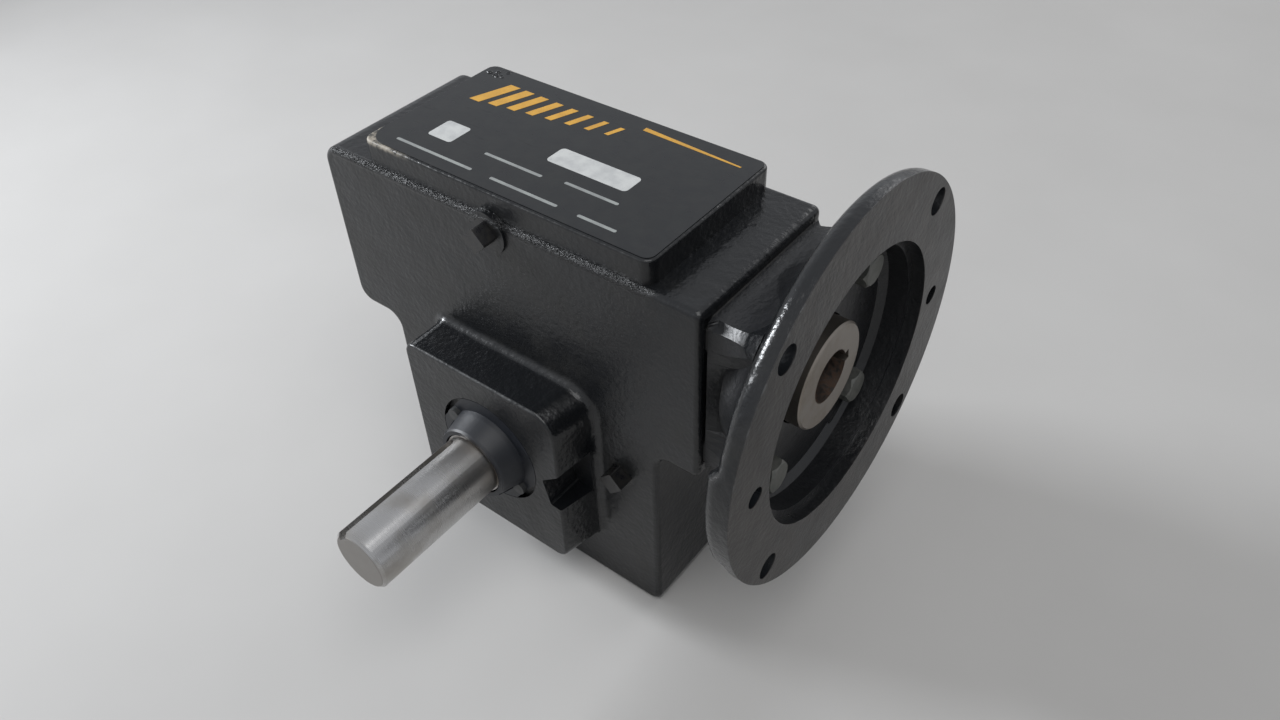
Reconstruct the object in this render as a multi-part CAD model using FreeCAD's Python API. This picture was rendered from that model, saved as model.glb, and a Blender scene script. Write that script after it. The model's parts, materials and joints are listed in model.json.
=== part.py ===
"""Right-angle worm gear reducer: hollow motor input above, solid output shaft below.

Frame: +Z up, the worm axis along X with the motor flange at +X, the output shaft along Y
with its free end at -Y, and the origin in the base face under the output axis.
"""
import FreeCAD, Part
import math
import os

from FreeCAD import Placement, Rotation, Vector

INCH = 25.4

# Axes
OUTPUT_AXIS_Z = 77.0
CENTRE_DISTANCE = 2.625 * INCH
WORM_AXIS_Z = OUTPUT_AXIS_Z + CENTRE_DISTANCE

# Housing outside
BLOCK_LEFT = 101.0
BLOCK_RIGHT = 96.5
BLOCK_HALF_WIDTH = 41.0
BLOCK_HALF_HEIGHT = 42.0
LOWER_HALF_LENGTH = 76.0
OVERHANG_FILLET = 7.0
EDGE_ROUND = 2.6
PAD_LEFT = 74.5
PAD_RIGHT = 73.6
PAD_FRONT = 38.7
PAD_BACK = 40.2
PAD_HEIGHT = 10.8
PAD_CORNER = 5.0
BOSS_FRONT_Y = -62.7
BOSS_LEFT = 44.8
BOSS_RIGHT_BACK = 44.6
BOSS_RIGHT_FRONT = 40.2
BOSS_TOP_Z = 117.6
BOSS_BOTTOM_Z = 28.5
BOSS_CORNER = 12.0
BOSS_SMALL_CORNER = 6.0
BOSS_EDGE_ROUND = 1.2
BOSS_FOOT_FILLET = 4.0
BOSS_EMBED = 4.0
NOTCH_TIP_X = 31.0
NOTCH_TIP_Z = 77.0
NOTCH_LOW_X = 34.5
NOTCH_LOW_Z = 63.5
NOTCH_HIGH_Z = 84.5

# Motor flange (C-face)
FLANGE_X = 137.0
FLANGE_R = 6.5 * INCH / 2
FLANGE_THICKNESS = 16.0
FLANGE_BACK_ROUND = 5.5
PILOT_R = 4.5 * INCH / 2
PILOT_DEPTH = 5.5
RECESS_STEP = 3.0
RECESS_DEPTH = 17.0
RECESS_FLOOR_BEVEL = 3.0
BOLT_EDGE = 0.3125 * INCH
FLANGE_PCD = 2 * (FLANGE_R - BOLT_EDGE)
FLANGE_HOLES = 4
FLANGE_HOLE_R = 0.4375 * INCH / 2
SIDE_HOLE_EDGE = 9.0
SIDE_HOLE_R = 4.2
NECK_HALF = 37.5
NECK_FLARE = 9.5
NECK_SAG = 2.6
NECK_CORNER_R = 50.4
NECK_CORNER_FLARE = 12.5
NECK_SCOOP_R = 60.0
NECK_SCOOP_DEPTH = 5.5
BELL_R = 38.0
BELL_MIDDLE_R = 46.0
BELL_START = 6.0
BELL_KNEE = 0.62
GASKET = 0.8
GASKET_LAP = 3.0
ADAPTER_SCREW_PCD = 86.0
ADAPTER_SCREW_R = 4.0
ADAPTER_SCREW_REACH = 16.0
ADAPTER_HEAD_FLATS = 13.0
ADAPTER_HEAD_HEIGHT = 6.5

# Quill (hollow input shaft with the worm cut on it)
QUILL_END_X = 128.0
QUILL_R = 22.4
QUILL_BORE_R = 0.875 * INCH / 2
QUILL_BORE_LENGTH = 60.0
QUILL_KEY_WIDTH = 0.1875 * INCH
QUILL_KEY_DEPTH = 2.4
QUILL_KEY_ANGLE = 10.0
QUILL_COLLAR_R = 26.0
QUILL_COLLAR_WIDTH = 4.0
QUILL_GAP = 0.6

# Worm and gear
WORM_STARTS = 2
GEAR_TEETH = 30
WORM_PITCH_R = 18.0
GEAR_PITCH_R = CENTRE_DISTANCE - WORM_PITCH_R
MODULE = 2 * GEAR_PITCH_R / GEAR_TEETH
WORM_PITCH = math.pi * MODULE
WORM_LEAD = WORM_STARTS * WORM_PITCH
PRESSURE_ANGLE = math.radians(20.0)
WORM_TIP_R = WORM_PITCH_R + MODULE
WORM_ROOT_R = WORM_PITCH_R - 1.2 * MODULE
WORM_HALF_LENGTH = 31.0
GEAR_HALF_WIDTH = 12.0
BACKLASH = 0.5

# Output shaft
SHAFT_R = 1.125 * INCH / 2
SHAFT_END_Y = -138.0
SHAFT_CHAMFER = 1.5
JOURNAL_R = 15.0
JOURNAL_INSET = 0.7
SHAFT_KEY_WIDTH = 0.25 * INCH
SHAFT_KEY_DEPTH = 3.2
SHAFT_KEY_ANGLE = 125.0
SEAM_FROM_KEY = 72.0
SHAFT_KEY_END_Y = -75.5
GEAR_SEAT_R = 18.0
GEAR_KEY_WIDTH = 8.0
GEAR_KEY_LENGTH = 30.0
GEAR_KEY_HEIGHT = 7.0
GEAR_KEY_DEPTH = 4.0
SHAFT_SHOULDER_R = 20.5
HUB_HALF_WIDTH = 18.0
HUB_R = 30.0

# Bearings: inner radius, outer radius, width
FRONT_WORM_BEARING = (QUILL_R, 37.5, 16.0)
REAR_WORM_BEARING = (12.5, 26.0, 15.0)
OUTPUT_BEARING = (JOURNAL_R, 31.0, 16.0)
RUNNING_GAP = 0.12
REAR_BEARING_INSET = 18.0
BALL_SHARE = 0.29
RACE_SHARE = 0.31
GROOVE_FACETS = 8
ROLLER_SHARE = 0.1875
ROLLER_SLOPE = 12.0
ROLLER_INSET = 2.0
CAGE_INSET = 0.8
CAGE_WALL = 0.6

# Gear case inside
CASE_R = 59.0
CASE_FRONT_Y = -30.0
FRONT_BEARING_Y = -48.0
REAR_BEARING_Y = 30.0
COVER_R = 69.0
COVER_THICKNESS = 8.0
COVER_SPIGOT = 11.0
COVER_SCREW_PCD = 128.0
COVER_SCREWS = 6
COVER_SCREW_R = 3.0
COVER_SCREW_REACH = 12.0
COVER_HEAD_FLATS = 10.0
COVER_HEAD_HEIGHT = 4.5
SCREW_CLEARANCE = 0.3
TAP_RUN_OUT = 2.0
CAP_R = 36.0
CAP_DEPTH = 5.0
CHAMBER_R = 23.0
COLLAR_CHAMBER_R = 31.0
COLLAR_ROOM = 14.0

# Seals, guard and plugs
SEAL_GAP = 0.05
SEAL_WIDTH = 8.0
OUTPUT_SEAL_R = 19.5
INPUT_SEAL_R = 29.0
INPUT_SEAL_INSET = 3.0
GUARD_PLATE_R = 27.0
GUARD_PLATE_GAP = 0.3
GUARD_FLAT = 24.6
GUARD_BASE_R = 20.8
GUARD_NOSE_R = 17.6
GUARD_REACH = 11.0
GUARD_BASE = 3.0
GUARD_BORE_GAP = 0.6
GUARD_SCREW_X = 17.2
GUARD_SCREW_Z = 12.6
GUARD_SCREW_R = 1.5
GUARD_SCREW_REACH = 7.0
GUARD_HEAD_R = 3.3
GUARD_HEAD_HEIGHT = 2.4
GUARD_HEAD_GAP = 0.5
PLUG_R = 6.6
PLUG_TAPER = 0.4
PLUG_HEAD_FLATS = 8.6
PLUG_HEAD_HEIGHT = 7.0
PLUG_DEPTH = 9.0
FILL_PLUG_X = -4.0
FILL_PLUG_Z = 179.5
FILL_BOSS_R = 9.6
FILL_BOSS_REACH = 1.2
LEVEL_PLUG_X = 56.4
LEVEL_PLUG_Z = 78.0
OIL_PASSAGE_R = 4.5
BASE_HOLE_X = 60.0
BASE_HOLE_Y = 26.0
BASE_HOLE_R = 4.0
BASE_HOLE_DEPTH = 16.0

X_AXIS = Vector(1, 0, 0)
Y_AXIS = Vector(0, 1, 0)
Z_AXIS = Vector(0, 0, 1)
WORM_CENTRE = Vector(0, 0, WORM_AXIS_Z)
OUTPUT_CENTRE = Vector(0, 0, OUTPUT_AXIS_Z)
BEARING_STATION_X = BLOCK_RIGHT - FRONT_WORM_BEARING[2]
REAR_STATION_X = -BLOCK_LEFT + REAR_BEARING_INSET
ADAPTER_X = BLOCK_RIGHT + GASKET
RECESS_FLOOR_X = FLANGE_X - RECESS_DEPTH
RECESS_R = PILOT_R - RECESS_STEP
FILL_FACE_Y = -BLOCK_HALF_WIDTH - FILL_BOSS_REACH
GUARD_SCREW_CIRCLE = math.hypot(GUARD_SCREW_X, GUARD_SCREW_Z)
GUARD_SCREW_TILT = math.degrees(math.atan2(GUARD_SCREW_Z, GUARD_SCREW_X))


def rounded_outline(corners):
    """Closed wire through (point, radius) corners, each corner an arc of its radius."""
    edges = []
    ends = []
    count = len(corners)
    for index, (point, radius) in enumerate(corners):
        before = (corners[index - 1][0] - point).normalize()
        after = (corners[(index + 1) % count][0] - point).normalize()
        half = before.getAngle(after) / 2
        reach = radius / math.tan(half)
        start = point + before * reach
        end = point + after * reach
        middle_way = (before + after).normalize()
        middle = point + middle_way * (radius / math.sin(half) - radius)
        ends.append((start, middle, end, radius))
    for index, (start, middle, end, radius) in enumerate(ends):
        if radius > 0:
            edges.append(Part.Arc(start, middle, end).toShape())
        edges.append(Part.makeLine(end, ends[(index + 1) % count][0]))
    return Part.Wire(edges)


def prism(wire, direction):
    return Part.Face(wire).extrude(direction)


def cylinder_x(radius, start, end, y=0.0, z=WORM_AXIS_Z):
    return Part.makeCylinder(radius, end - start, Vector(start, y, z), X_AXIS)


def cylinder_y(radius, start, end, x=0.0, z=OUTPUT_AXIS_Z):
    return Part.makeCylinder(radius, end - start, Vector(x, start, z), Y_AXIS)


def turned(profile, centre, axis):
    """Solid of revolution: profile is a list of (station along the axis, radius)."""
    side = Z_AXIS
    points = [centre + axis * station + side * radius for station, radius in profile]
    face = Part.Face(Part.makePolygon(points + [points[0]]))
    return face.revolve(centre, axis, 360)


def ring(centre, axis, start, end, inner, outer):
    return turned([(start, inner), (start, outer), (end, outer), (end, inner)], centre, axis)


def around(shape, count, centre, axis, first=0.0):
    """Copies of a shape, evenly spaced round an axis."""
    copies = []
    for index in range(count):
        copy = shape.copy()
        copy.rotate(centre, axis, first + index * 360.0 / count)
        copies.append(copy)
    return copies


def hexagon_prism(flats, start, height, axis):
    """Six-sided head with its corners broken by a cone."""
    radius = flats / math.sqrt(3)
    points = []
    for index in range(7):
        angle = index * math.pi / 3
        points.append(Vector(0, radius * math.cos(angle), radius * math.sin(angle)))
    head = Part.Face(Part.makePolygon(points)).extrude(X_AXIS * height)
    crown = flats / 2 * 0.95
    cone = turned([(-1, 0), (-1, radius * 1.2), (height - radius * 1.2 + crown, radius * 1.2),
                   (height, crown), (height, 0)], Vector(0, 0, 0), X_AXIS)
    head = head.common(cone)
    head.Placement = Placement(start, Rotation(X_AXIS, axis))
    return head


def square_plug(x, y, z, direction):
    """Square-head pipe plug: threaded barrel below the face and a head turned 45 degrees."""
    barrel = plug_hole(x, y, z, direction)
    half = PLUG_HEAD_FLATS / 2
    corners = []
    for along, across in ((-half, -half), (half, -half), (half, half), (-half, half)):
        corners.append((Vector(x + along, y, z + across), 0.8))
    head = prism(rounded_outline(corners), direction * PLUG_HEAD_HEIGHT)
    head.rotate(Vector(x, y, z), Y_AXIS, 45)
    return barrel.fuse(head).removeSplitter()


def plug_hole(x, y, z, direction):
    return Part.makeCone(PLUG_R, PLUG_R - PLUG_TAPER, PLUG_DEPTH, Vector(x, y, z), -direction)


def housing_outside():
    low = WORM_AXIS_Z - BLOCK_HALF_HEIGHT
    high = WORM_AXIS_Z + BLOCK_HALF_HEIGHT
    y = -BLOCK_HALF_WIDTH
    corners = [
        (Vector(-LOWER_HALF_LENGTH, y, 0), 5.0),
        (Vector(LOWER_HALF_LENGTH, y, 0), 5.0),
        (Vector(LOWER_HALF_LENGTH, y, low), OVERHANG_FILLET),
        (Vector(BLOCK_RIGHT, y, low), 3.0),
        (Vector(BLOCK_RIGHT, y, high), 3.0),
        (Vector(-BLOCK_LEFT, y, high), 8.0),
        (Vector(-BLOCK_LEFT, y, low), 8.0),
        (Vector(-LOWER_HALF_LENGTH, y, low), OVERHANG_FILLET),
    ]
    body = prism(rounded_outline(corners), Y_AXIS * (2 * BLOCK_HALF_WIDTH))
    rims = []
    for edge in body.Edges:
        box = edge.BoundBox
        if box.YLength < 0.01:
            rims.append(edge)
    return body.makeFillet(EDGE_ROUND, rims)


def label_pad():
    base_z = WORM_AXIS_Z + BLOCK_HALF_HEIGHT
    corners = [
        (Vector(-PAD_LEFT, -PAD_FRONT, base_z - 4), PAD_CORNER),
        (Vector(PAD_RIGHT, -PAD_FRONT, base_z - 4), PAD_CORNER),
        (Vector(PAD_RIGHT, PAD_BACK, base_z - 4), PAD_CORNER),
        (Vector(-PAD_LEFT, PAD_BACK, base_z - 4), PAD_CORNER),
    ]
    pad = prism(rounded_outline(corners), Z_AXIS * (PAD_HEIGHT + 4))
    top = base_z + PAD_HEIGHT
    rims = [edge for edge in pad.Edges if edge.BoundBox.ZMin > top - 0.01]
    return pad.makeFillet(1.2, rims)


def output_boss():
    """Block in front of the output bearing: its right side leans in, its corners are rounded."""
    back_y = -BLOCK_HALF_WIDTH + BOSS_EMBED
    lean = (BOSS_RIGHT_BACK - BOSS_RIGHT_FRONT) / (-BLOCK_HALF_WIDTH - BOSS_FRONT_Y)
    plan = Part.makePolygon([
        Vector(-BOSS_LEFT, back_y, BOSS_BOTTOM_Z), Vector(-BOSS_LEFT, BOSS_FRONT_Y, BOSS_BOTTOM_Z),
        Vector(BOSS_RIGHT_FRONT, BOSS_FRONT_Y, BOSS_BOTTOM_Z),
        Vector(BOSS_RIGHT_BACK + lean * BOSS_EMBED, back_y, BOSS_BOTTOM_Z),
        Vector(-BOSS_LEFT, back_y, BOSS_BOTTOM_Z)])
    boss = prism(plan, Z_AXIS * (BOSS_TOP_Z - BOSS_BOTTOM_Z))
    wide = [edge for edge in boss.Edges if edge.BoundBox.ZMin > BOSS_TOP_Z - 0.01
            and edge.BoundBox.XMin > BOSS_RIGHT_FRONT - 0.01]
    boss = boss.makeFillet(BOSS_CORNER, wide)
    small = [edge for edge in boss.Edges if edge.BoundBox.ZLength < 0.01
             and edge.BoundBox.YLength > BOSS_EMBED and abs(edge.BoundBox.ZMin - BOSS_TOP_Z) < 0.01
             and edge.BoundBox.XMax < 0]
    small += [edge for edge in boss.Edges if edge.BoundBox.ZMax < BOSS_BOTTOM_Z + 0.01
              and edge.BoundBox.YLength > BOSS_EMBED]
    boss = boss.makeFillet(BOSS_SMALL_CORNER, small)
    rims = [edge for edge in boss.Edges if edge.BoundBox.YMax < BOSS_FRONT_Y + 0.01]
    return boss.makeFillet(BOSS_EDGE_ROUND, rims)


def filleted_foot(body):
    """Rounds the corner where the output boss leaves the front face."""
    foot = []
    for edge in body.Edges:
        box = edge.BoundBox
        on_face = abs(box.YMin + BLOCK_HALF_WIDTH) < 0.01 and box.YLength < 0.01
        inside = box.XMin > -BOSS_LEFT - 1 and box.XMax < BOSS_RIGHT_BACK + 1 and box.ZMax < BOSS_TOP_Z + 1
        if on_face and inside and box.ZMin > BOSS_BOTTOM_Z - 1:
            foot.append(edge)
    return body.makeFillet(BOSS_FOOT_FILLET, foot)


def boss_notch():
    """Slanted relief through the right side of the output boss."""
    outer = BOSS_RIGHT_BACK + BOSS_FOOT_FILLET
    y = BOSS_FRONT_Y - 1
    slope = (NOTCH_HIGH_Z - NOTCH_TIP_Z) / (BOSS_RIGHT_FRONT - NOTCH_TIP_X)
    corners = [
        (Vector(NOTCH_TIP_X, y, NOTCH_TIP_Z), 1.2),
        (Vector(NOTCH_LOW_X, y, NOTCH_LOW_Z), 1.2),
        (Vector(outer, y, NOTCH_LOW_Z - 1.0), 0.5),
        (Vector(outer, y, NOTCH_TIP_Z + slope * (outer - NOTCH_TIP_X)), 0.5),
    ]
    return prism(rounded_outline(corners), Y_AXIS * (-BLOCK_HALF_WIDTH - y - BOSS_FOOT_FILLET))


def adapter_screw_sites():
    reach = ADAPTER_SCREW_PCD / 2 * math.sqrt(0.5)
    return [(y, WORM_AXIS_Z + z) for y in (-reach, reach) for z in (-reach, reach)]


def cover_screw_sites():
    sites = []
    for index in range(COVER_SCREWS):
        angle = math.radians(index * 360.0 / COVER_SCREWS)
        radius = COVER_SCREW_PCD / 2
        sites.append((radius * math.cos(angle), OUTPUT_AXIS_Z + radius * math.sin(angle)))
    return sites


def guard_screw_sites():
    return [(-GUARD_SCREW_X, OUTPUT_AXIS_Z + GUARD_SCREW_Z),
            (GUARD_SCREW_X, OUTPUT_AXIS_Z - GUARD_SCREW_Z)]


def make_housing():
    body = filleted_foot(housing_outside().fuse(output_boss()).removeSplitter())
    fill_boss = cylinder_y(FILL_BOSS_R, FILL_FACE_Y, -PAD_FRONT + PAD_CORNER, FILL_PLUG_X, FILL_PLUG_Z)
    body = body.fuse([label_pad(), fill_boss])
    front_outer = FRONT_WORM_BEARING[1]
    rear_outer = REAR_WORM_BEARING[1]
    rear_inside = REAR_STATION_X + REAR_WORM_BEARING[2]
    collar_room = BEARING_STATION_X - QUILL_COLLAR_WIDTH - COLLAR_ROOM
    guard_seat = BOSS_FRONT_Y + GUARD_BASE
    cuts = [
        boss_notch(),
        cylinder_x(front_outer, BEARING_STATION_X, BLOCK_RIGHT + 1),
        cylinder_x(COLLAR_CHAMBER_R, collar_room, BEARING_STATION_X),
        cylinder_x(CHAMBER_R, rear_inside, BEARING_STATION_X),
        cylinder_x(rear_outer, -BLOCK_LEFT - 1, rear_inside),
        cylinder_y(CASE_R, CASE_FRONT_Y, BLOCK_HALF_WIDTH + 1),
        cylinder_y(OUTPUT_BEARING[1], FRONT_BEARING_Y, CASE_FRONT_Y),
        cylinder_y(OUTPUT_SEAL_R, BOSS_FRONT_Y - 1, FRONT_BEARING_Y),
        cylinder_y(GUARD_PLATE_R + GUARD_PLATE_GAP, BOSS_FRONT_Y - 1, guard_seat),
        plug_hole(FILL_PLUG_X, FILL_FACE_Y, FILL_PLUG_Z, -Y_AXIS),
        plug_hole(LEVEL_PLUG_X, -BLOCK_HALF_WIDTH, LEVEL_PLUG_Z, -Y_AXIS),
        cylinder_y(OIL_PASSAGE_R, -BLOCK_HALF_WIDTH, 0, FILL_PLUG_X, FILL_PLUG_Z),
        cylinder_y(OIL_PASSAGE_R, -BLOCK_HALF_WIDTH, CASE_FRONT_Y + 1, LEVEL_PLUG_X, LEVEL_PLUG_Z),
        Part.makeCylinder(OIL_PASSAGE_R, FILL_PLUG_Z - WORM_AXIS_Z,
                          Vector(FILL_PLUG_X, 0, WORM_AXIS_Z), Z_AXIS),
    ]
    adapter_tap = BLOCK_RIGHT - ADAPTER_SCREW_REACH - TAP_RUN_OUT
    for y, z in adapter_screw_sites():
        cuts.append(cylinder_x(ADAPTER_SCREW_R, adapter_tap, BLOCK_RIGHT + 1, y, z))
    cover_tap = BLOCK_HALF_WIDTH - COVER_SCREW_REACH - TAP_RUN_OUT
    for x, z in cover_screw_sites():
        cuts.append(cylinder_y(COVER_SCREW_R, cover_tap, BLOCK_HALF_WIDTH + 1, x, z))
    cuts += guard_holes(GUARD_SCREW_R, BOSS_FRONT_Y, guard_seat + GUARD_SCREW_REACH + TAP_RUN_OUT)
    for x in (-BASE_HOLE_X, BASE_HOLE_X):
        for y in (-BASE_HOLE_Y, BASE_HOLE_Y):
            cuts.append(Part.makeCylinder(BASE_HOLE_R, BASE_HOLE_DEPTH, Vector(x, y, 0), Z_AXIS))
    return body.cut(cuts)


def make_end_plug():
    """Pressed cap that closes the left end of the worm bore."""
    radius = REAR_WORM_BEARING[1]
    left = -BLOCK_LEFT + 1.5
    return turned([(left, 0), (left, radius - 5), (left + 1.5, radius - 4), (left + 1.5, radius),
                   (left + 8, radius), (left + 8, radius - 2), (left + 4, radius - 6),
                   (left + 4, 0)], WORM_CENTRE, X_AXIS)


def flared_line(start, half, flare):
    """Concave arc that leaves the block at one half height and meets the flange at a greater one."""
    end = FLANGE_X - FLANGE_THICKNESS
    middle = Vector((start + end) / 2, 0, half + flare / 2 - NECK_SAG)
    return Part.Arc(Vector(start, 0, half), middle, Vector(end, 0, half + flare)).toShape()


def neck_body(start):
    """Square neck that flares into the flange, with turned corners and a hollow front and back."""
    end = FLANGE_X - FLANGE_THICKNESS
    top = NECK_HALF + NECK_FLARE
    upper = flared_line(start, NECK_HALF, NECK_FLARE)
    lower = upper.mirror(Vector(0, 0, 0), Z_AXIS)
    left = Part.makeLine(Vector(start, 0, -NECK_HALF), Vector(start, 0, NECK_HALF))
    right = Part.makeLine(Vector(end, 0, top), Vector(end, 0, -top))
    side_view = Part.Face(Part.Wire([left, upper, right, lower]))
    tall = side_view.extrude(Y_AXIS * (2 * top))
    tall.translate(Vector(0, -top, 0))
    wide = tall.copy()
    wide.rotate(Vector(0, 0, 0), X_AXIS, 90)
    corner = Part.Wire([
        Part.makeLine(Vector(start, 0, 0), Vector(start, 0, NECK_CORNER_R)),
        flared_line(start, NECK_CORNER_R, NECK_CORNER_FLARE),
        Part.makeLine(Vector(end, 0, NECK_CORNER_R + NECK_CORNER_FLARE), Vector(end, 0, 0)),
        Part.makeLine(Vector(end, 0, 0), Vector(start, 0, 0))])
    turned_corner = Part.Face(corner).revolve(Vector(0, 0, 0), X_AXIS, 360)
    neck = tall.common(wide).common(turned_corner)
    neck.translate(WORM_CENTRE)
    scoop = cylinder_x(NECK_SCOOP_R, start - 1, end + 1, NECK_HALF + NECK_SCOOP_R - NECK_SCOOP_DEPTH)
    return neck.cut(around(scoop, 2, WORM_CENTRE, X_AXIS))


def flange_disc():
    """Flange with its stepped recess and the bell that carries it, turned from one profile."""
    back_x = FLANGE_X - FLANGE_THICKNESS
    soft = FLANGE_BACK_ROUND
    low = ADAPTER_X + BELL_START
    rim_root = FLANGE_R - soft

    def at(x, radius):
        return WORM_CENTRE + X_AXIS * x + Z_AXIS * radius

    half_soft = soft * math.sqrt(0.5)
    knee = at(low + BELL_KNEE * (back_x - low), BELL_MIDDLE_R)
    bell = Part.Arc(at(low, BELL_R), knee, at(back_x, rim_root))
    bend = Part.Arc(at(back_x, rim_root), at(back_x + soft - half_soft, rim_root + half_soft),
                    at(back_x + soft, FLANGE_R))
    ledge = FLANGE_X - PILOT_DEPTH
    hollow = RECESS_FLOOR_BEVEL
    edges = [
        Part.makeLine(at(low, 0), at(low, BELL_R)), bell.toShape(), bend.toShape(),
        Part.makeLine(at(back_x + soft, FLANGE_R), at(FLANGE_X, FLANGE_R)),
        Part.makeLine(at(FLANGE_X, FLANGE_R), at(FLANGE_X, PILOT_R)),
        Part.makeLine(at(FLANGE_X, PILOT_R), at(ledge, PILOT_R)),
        Part.makeLine(at(ledge, PILOT_R), at(ledge, RECESS_R)),
        Part.makeLine(at(ledge, RECESS_R), at(RECESS_FLOOR_X + hollow, RECESS_R)),
        Part.makeLine(at(RECESS_FLOOR_X + hollow, RECESS_R), at(RECESS_FLOOR_X, RECESS_R - hollow)),
        Part.makeLine(at(RECESS_FLOOR_X, RECESS_R - hollow), at(RECESS_FLOOR_X, 0)),
        Part.makeLine(at(RECESS_FLOOR_X, 0), at(low, 0)),
    ]
    return Part.Face(Part.Wire(edges)).revolve(WORM_CENTRE, X_AXIS, 360)


def make_motor_adapter():
    neck = neck_body(ADAPTER_X)
    neck = neck.cut(cylinder_x(RECESS_R - RECESS_FLOOR_BEVEL, RECESS_FLOOR_X, FLANGE_X))
    body = flange_disc().fuse(neck)
    cuts = [
        cylinder_x(QUILL_R + QUILL_GAP, ADAPTER_X - 1, FLANGE_X),
        cylinder_x(INPUT_SEAL_R, ADAPTER_X - 1, RECESS_FLOOR_X - INPUT_SEAL_INSET),
    ]
    for y, z in adapter_screw_sites():
        cuts.append(cylinder_x(ADAPTER_SCREW_R + SCREW_CLEARANCE, ADAPTER_X - 1, FLANGE_X, y, z))
    hole = cylinder_x(FLANGE_HOLE_R, ADAPTER_X, FLANGE_X + 1, FLANGE_PCD / 2)
    cuts += around(hole, FLANGE_HOLES, WORM_CENTRE, X_AXIS, 180.0 / FLANGE_HOLES)
    side_hole = cylinder_x(SIDE_HOLE_R, ADAPTER_X, FLANGE_X + 1, PILOT_R + SIDE_HOLE_EDGE)
    cuts += around(side_hole, 2, WORM_CENTRE, X_AXIS)
    return body.cut(cuts)


def make_adapter_gasket():
    outline = neck_body(ADAPTER_X).common(cylinder_x(FLANGE_R, ADAPTER_X, ADAPTER_X + GASKET))
    sheet = outline.translated(Vector(-GASKET, 0, 0)).common(
        cylinder_x(FLANGE_R, BLOCK_RIGHT, ADAPTER_X))
    cuts = [cylinder_x(FRONT_WORM_BEARING[1] - GASKET_LAP, BLOCK_RIGHT - 1, ADAPTER_X + 1)]
    for y, z in adapter_screw_sites():
        cuts.append(cylinder_x(ADAPTER_SCREW_R + SCREW_CLEARANCE, BLOCK_RIGHT - 1, ADAPTER_X + 1, y, z))
    return sheet.cut(cuts)


def make_adapter_screws():
    screws = []
    tip = BLOCK_RIGHT - ADAPTER_SCREW_REACH
    for y, z in adapter_screw_sites():
        head = hexagon_prism(ADAPTER_HEAD_FLATS, Vector(RECESS_FLOOR_X, y, z), ADAPTER_HEAD_HEIGHT, X_AXIS)
        screws.append(head.fuse(cylinder_x(ADAPTER_SCREW_R, tip, RECESS_FLOOR_X, y, z)))
    return Part.Compound(screws)


def make_rear_cover():
    """Cover over the gear case; its hub holds the rear output bearing under a closed cap."""
    face = BLOCK_HALF_WIDTH + GASKET
    out = face + COVER_THICKNESS
    bearing_out = REAR_BEARING_Y + OUTPUT_BEARING[2]
    cap_out = out + CAP_DEPTH
    spigot_in = face - COVER_SPIGOT
    radius = OUTPUT_BEARING[1]
    cover = turned([
        (spigot_in, radius), (spigot_in, radius + 6), (face - 5, radius + 9),
        (face - 5, CASE_R - 0.05), (face, CASE_R - 0.05),
        (face, COVER_R), (out - 1.5, COVER_R), (out, COVER_R - 1.5), (out, CAP_R + 4),
        (cap_out - 2, CAP_R + 2), (cap_out, CAP_R), (cap_out, 0), (cap_out - 5, 0),
        (cap_out - 5, radius - 4), (bearing_out, radius - 4), (bearing_out, radius),
    ], OUTPUT_CENTRE, Y_AXIS)
    hole_r = COVER_SCREW_R + SCREW_CLEARANCE
    return cover.cut([cylinder_y(hole_r, face - 1, out + 1, x, z) for x, z in cover_screw_sites()])


def make_cover_gasket():
    sheet = ring(OUTPUT_CENTRE, Y_AXIS, BLOCK_HALF_WIDTH, BLOCK_HALF_WIDTH + GASKET, CASE_R, COVER_R)
    hole_r = COVER_SCREW_R + SCREW_CLEARANCE
    end = BLOCK_HALF_WIDTH + GASKET + 1
    return sheet.cut([cylinder_y(hole_r, BLOCK_HALF_WIDTH - 1, end, x, z) for x, z in cover_screw_sites()])


def make_cover_screws():
    out = BLOCK_HALF_WIDTH + GASKET + COVER_THICKNESS
    screws = []
    for x, z in cover_screw_sites():
        head = hexagon_prism(COVER_HEAD_FLATS, Vector(x, out, z), COVER_HEAD_HEIGHT, Y_AXIS)
        screws.append(head.fuse(cylinder_y(COVER_SCREW_R, BLOCK_HALF_WIDTH - COVER_SCREW_REACH, out, x, z)))
    return Part.Compound(screws)


def worm_thread(start_angle):
    """One helical thread: a trapezoid swept along the worm."""
    embed = 1.0
    low = WORM_ROOT_R - embed
    depth_low = WORM_PITCH_R - low
    depth_high = WORM_TIP_R - WORM_PITCH_R
    half_pitch_width = WORM_PITCH / 4
    half_low = half_pitch_width + depth_low * math.tan(PRESSURE_ANGLE)
    half_high = half_pitch_width - depth_high * math.tan(PRESSURE_ANGLE)
    run = 2 * WORM_HALF_LENGTH + 2 * WORM_PITCH
    profile = Part.makePolygon([
        Vector(low, 0, -half_low), Vector(WORM_TIP_R, 0, -half_high),
        Vector(WORM_TIP_R, 0, half_high), Vector(low, 0, half_low), Vector(low, 0, -half_low)])
    spine = Part.Wire(Part.makeHelix(WORM_LEAD, run, WORM_PITCH_R))
    sweep = Part.BRepOffsetAPI.MakePipeShell(spine)
    sweep.setFrenetMode(True)
    sweep.add(profile)
    sweep.build()
    sweep.makeSolid()
    thread = sweep.shape()
    thread.rotate(Vector(0, 0, 0), Z_AXIS, start_angle)
    thread.translate(Vector(0, 0, -run / 2))
    turns_to_middle = run / 2 / WORM_LEAD
    thread.rotate(Vector(0, 0, 0), Z_AXIS, -360 * turns_to_middle)
    thread.Placement = Placement(WORM_CENTRE, Rotation(Y_AXIS, 90)).multiply(thread.Placement)
    return thread


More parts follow.
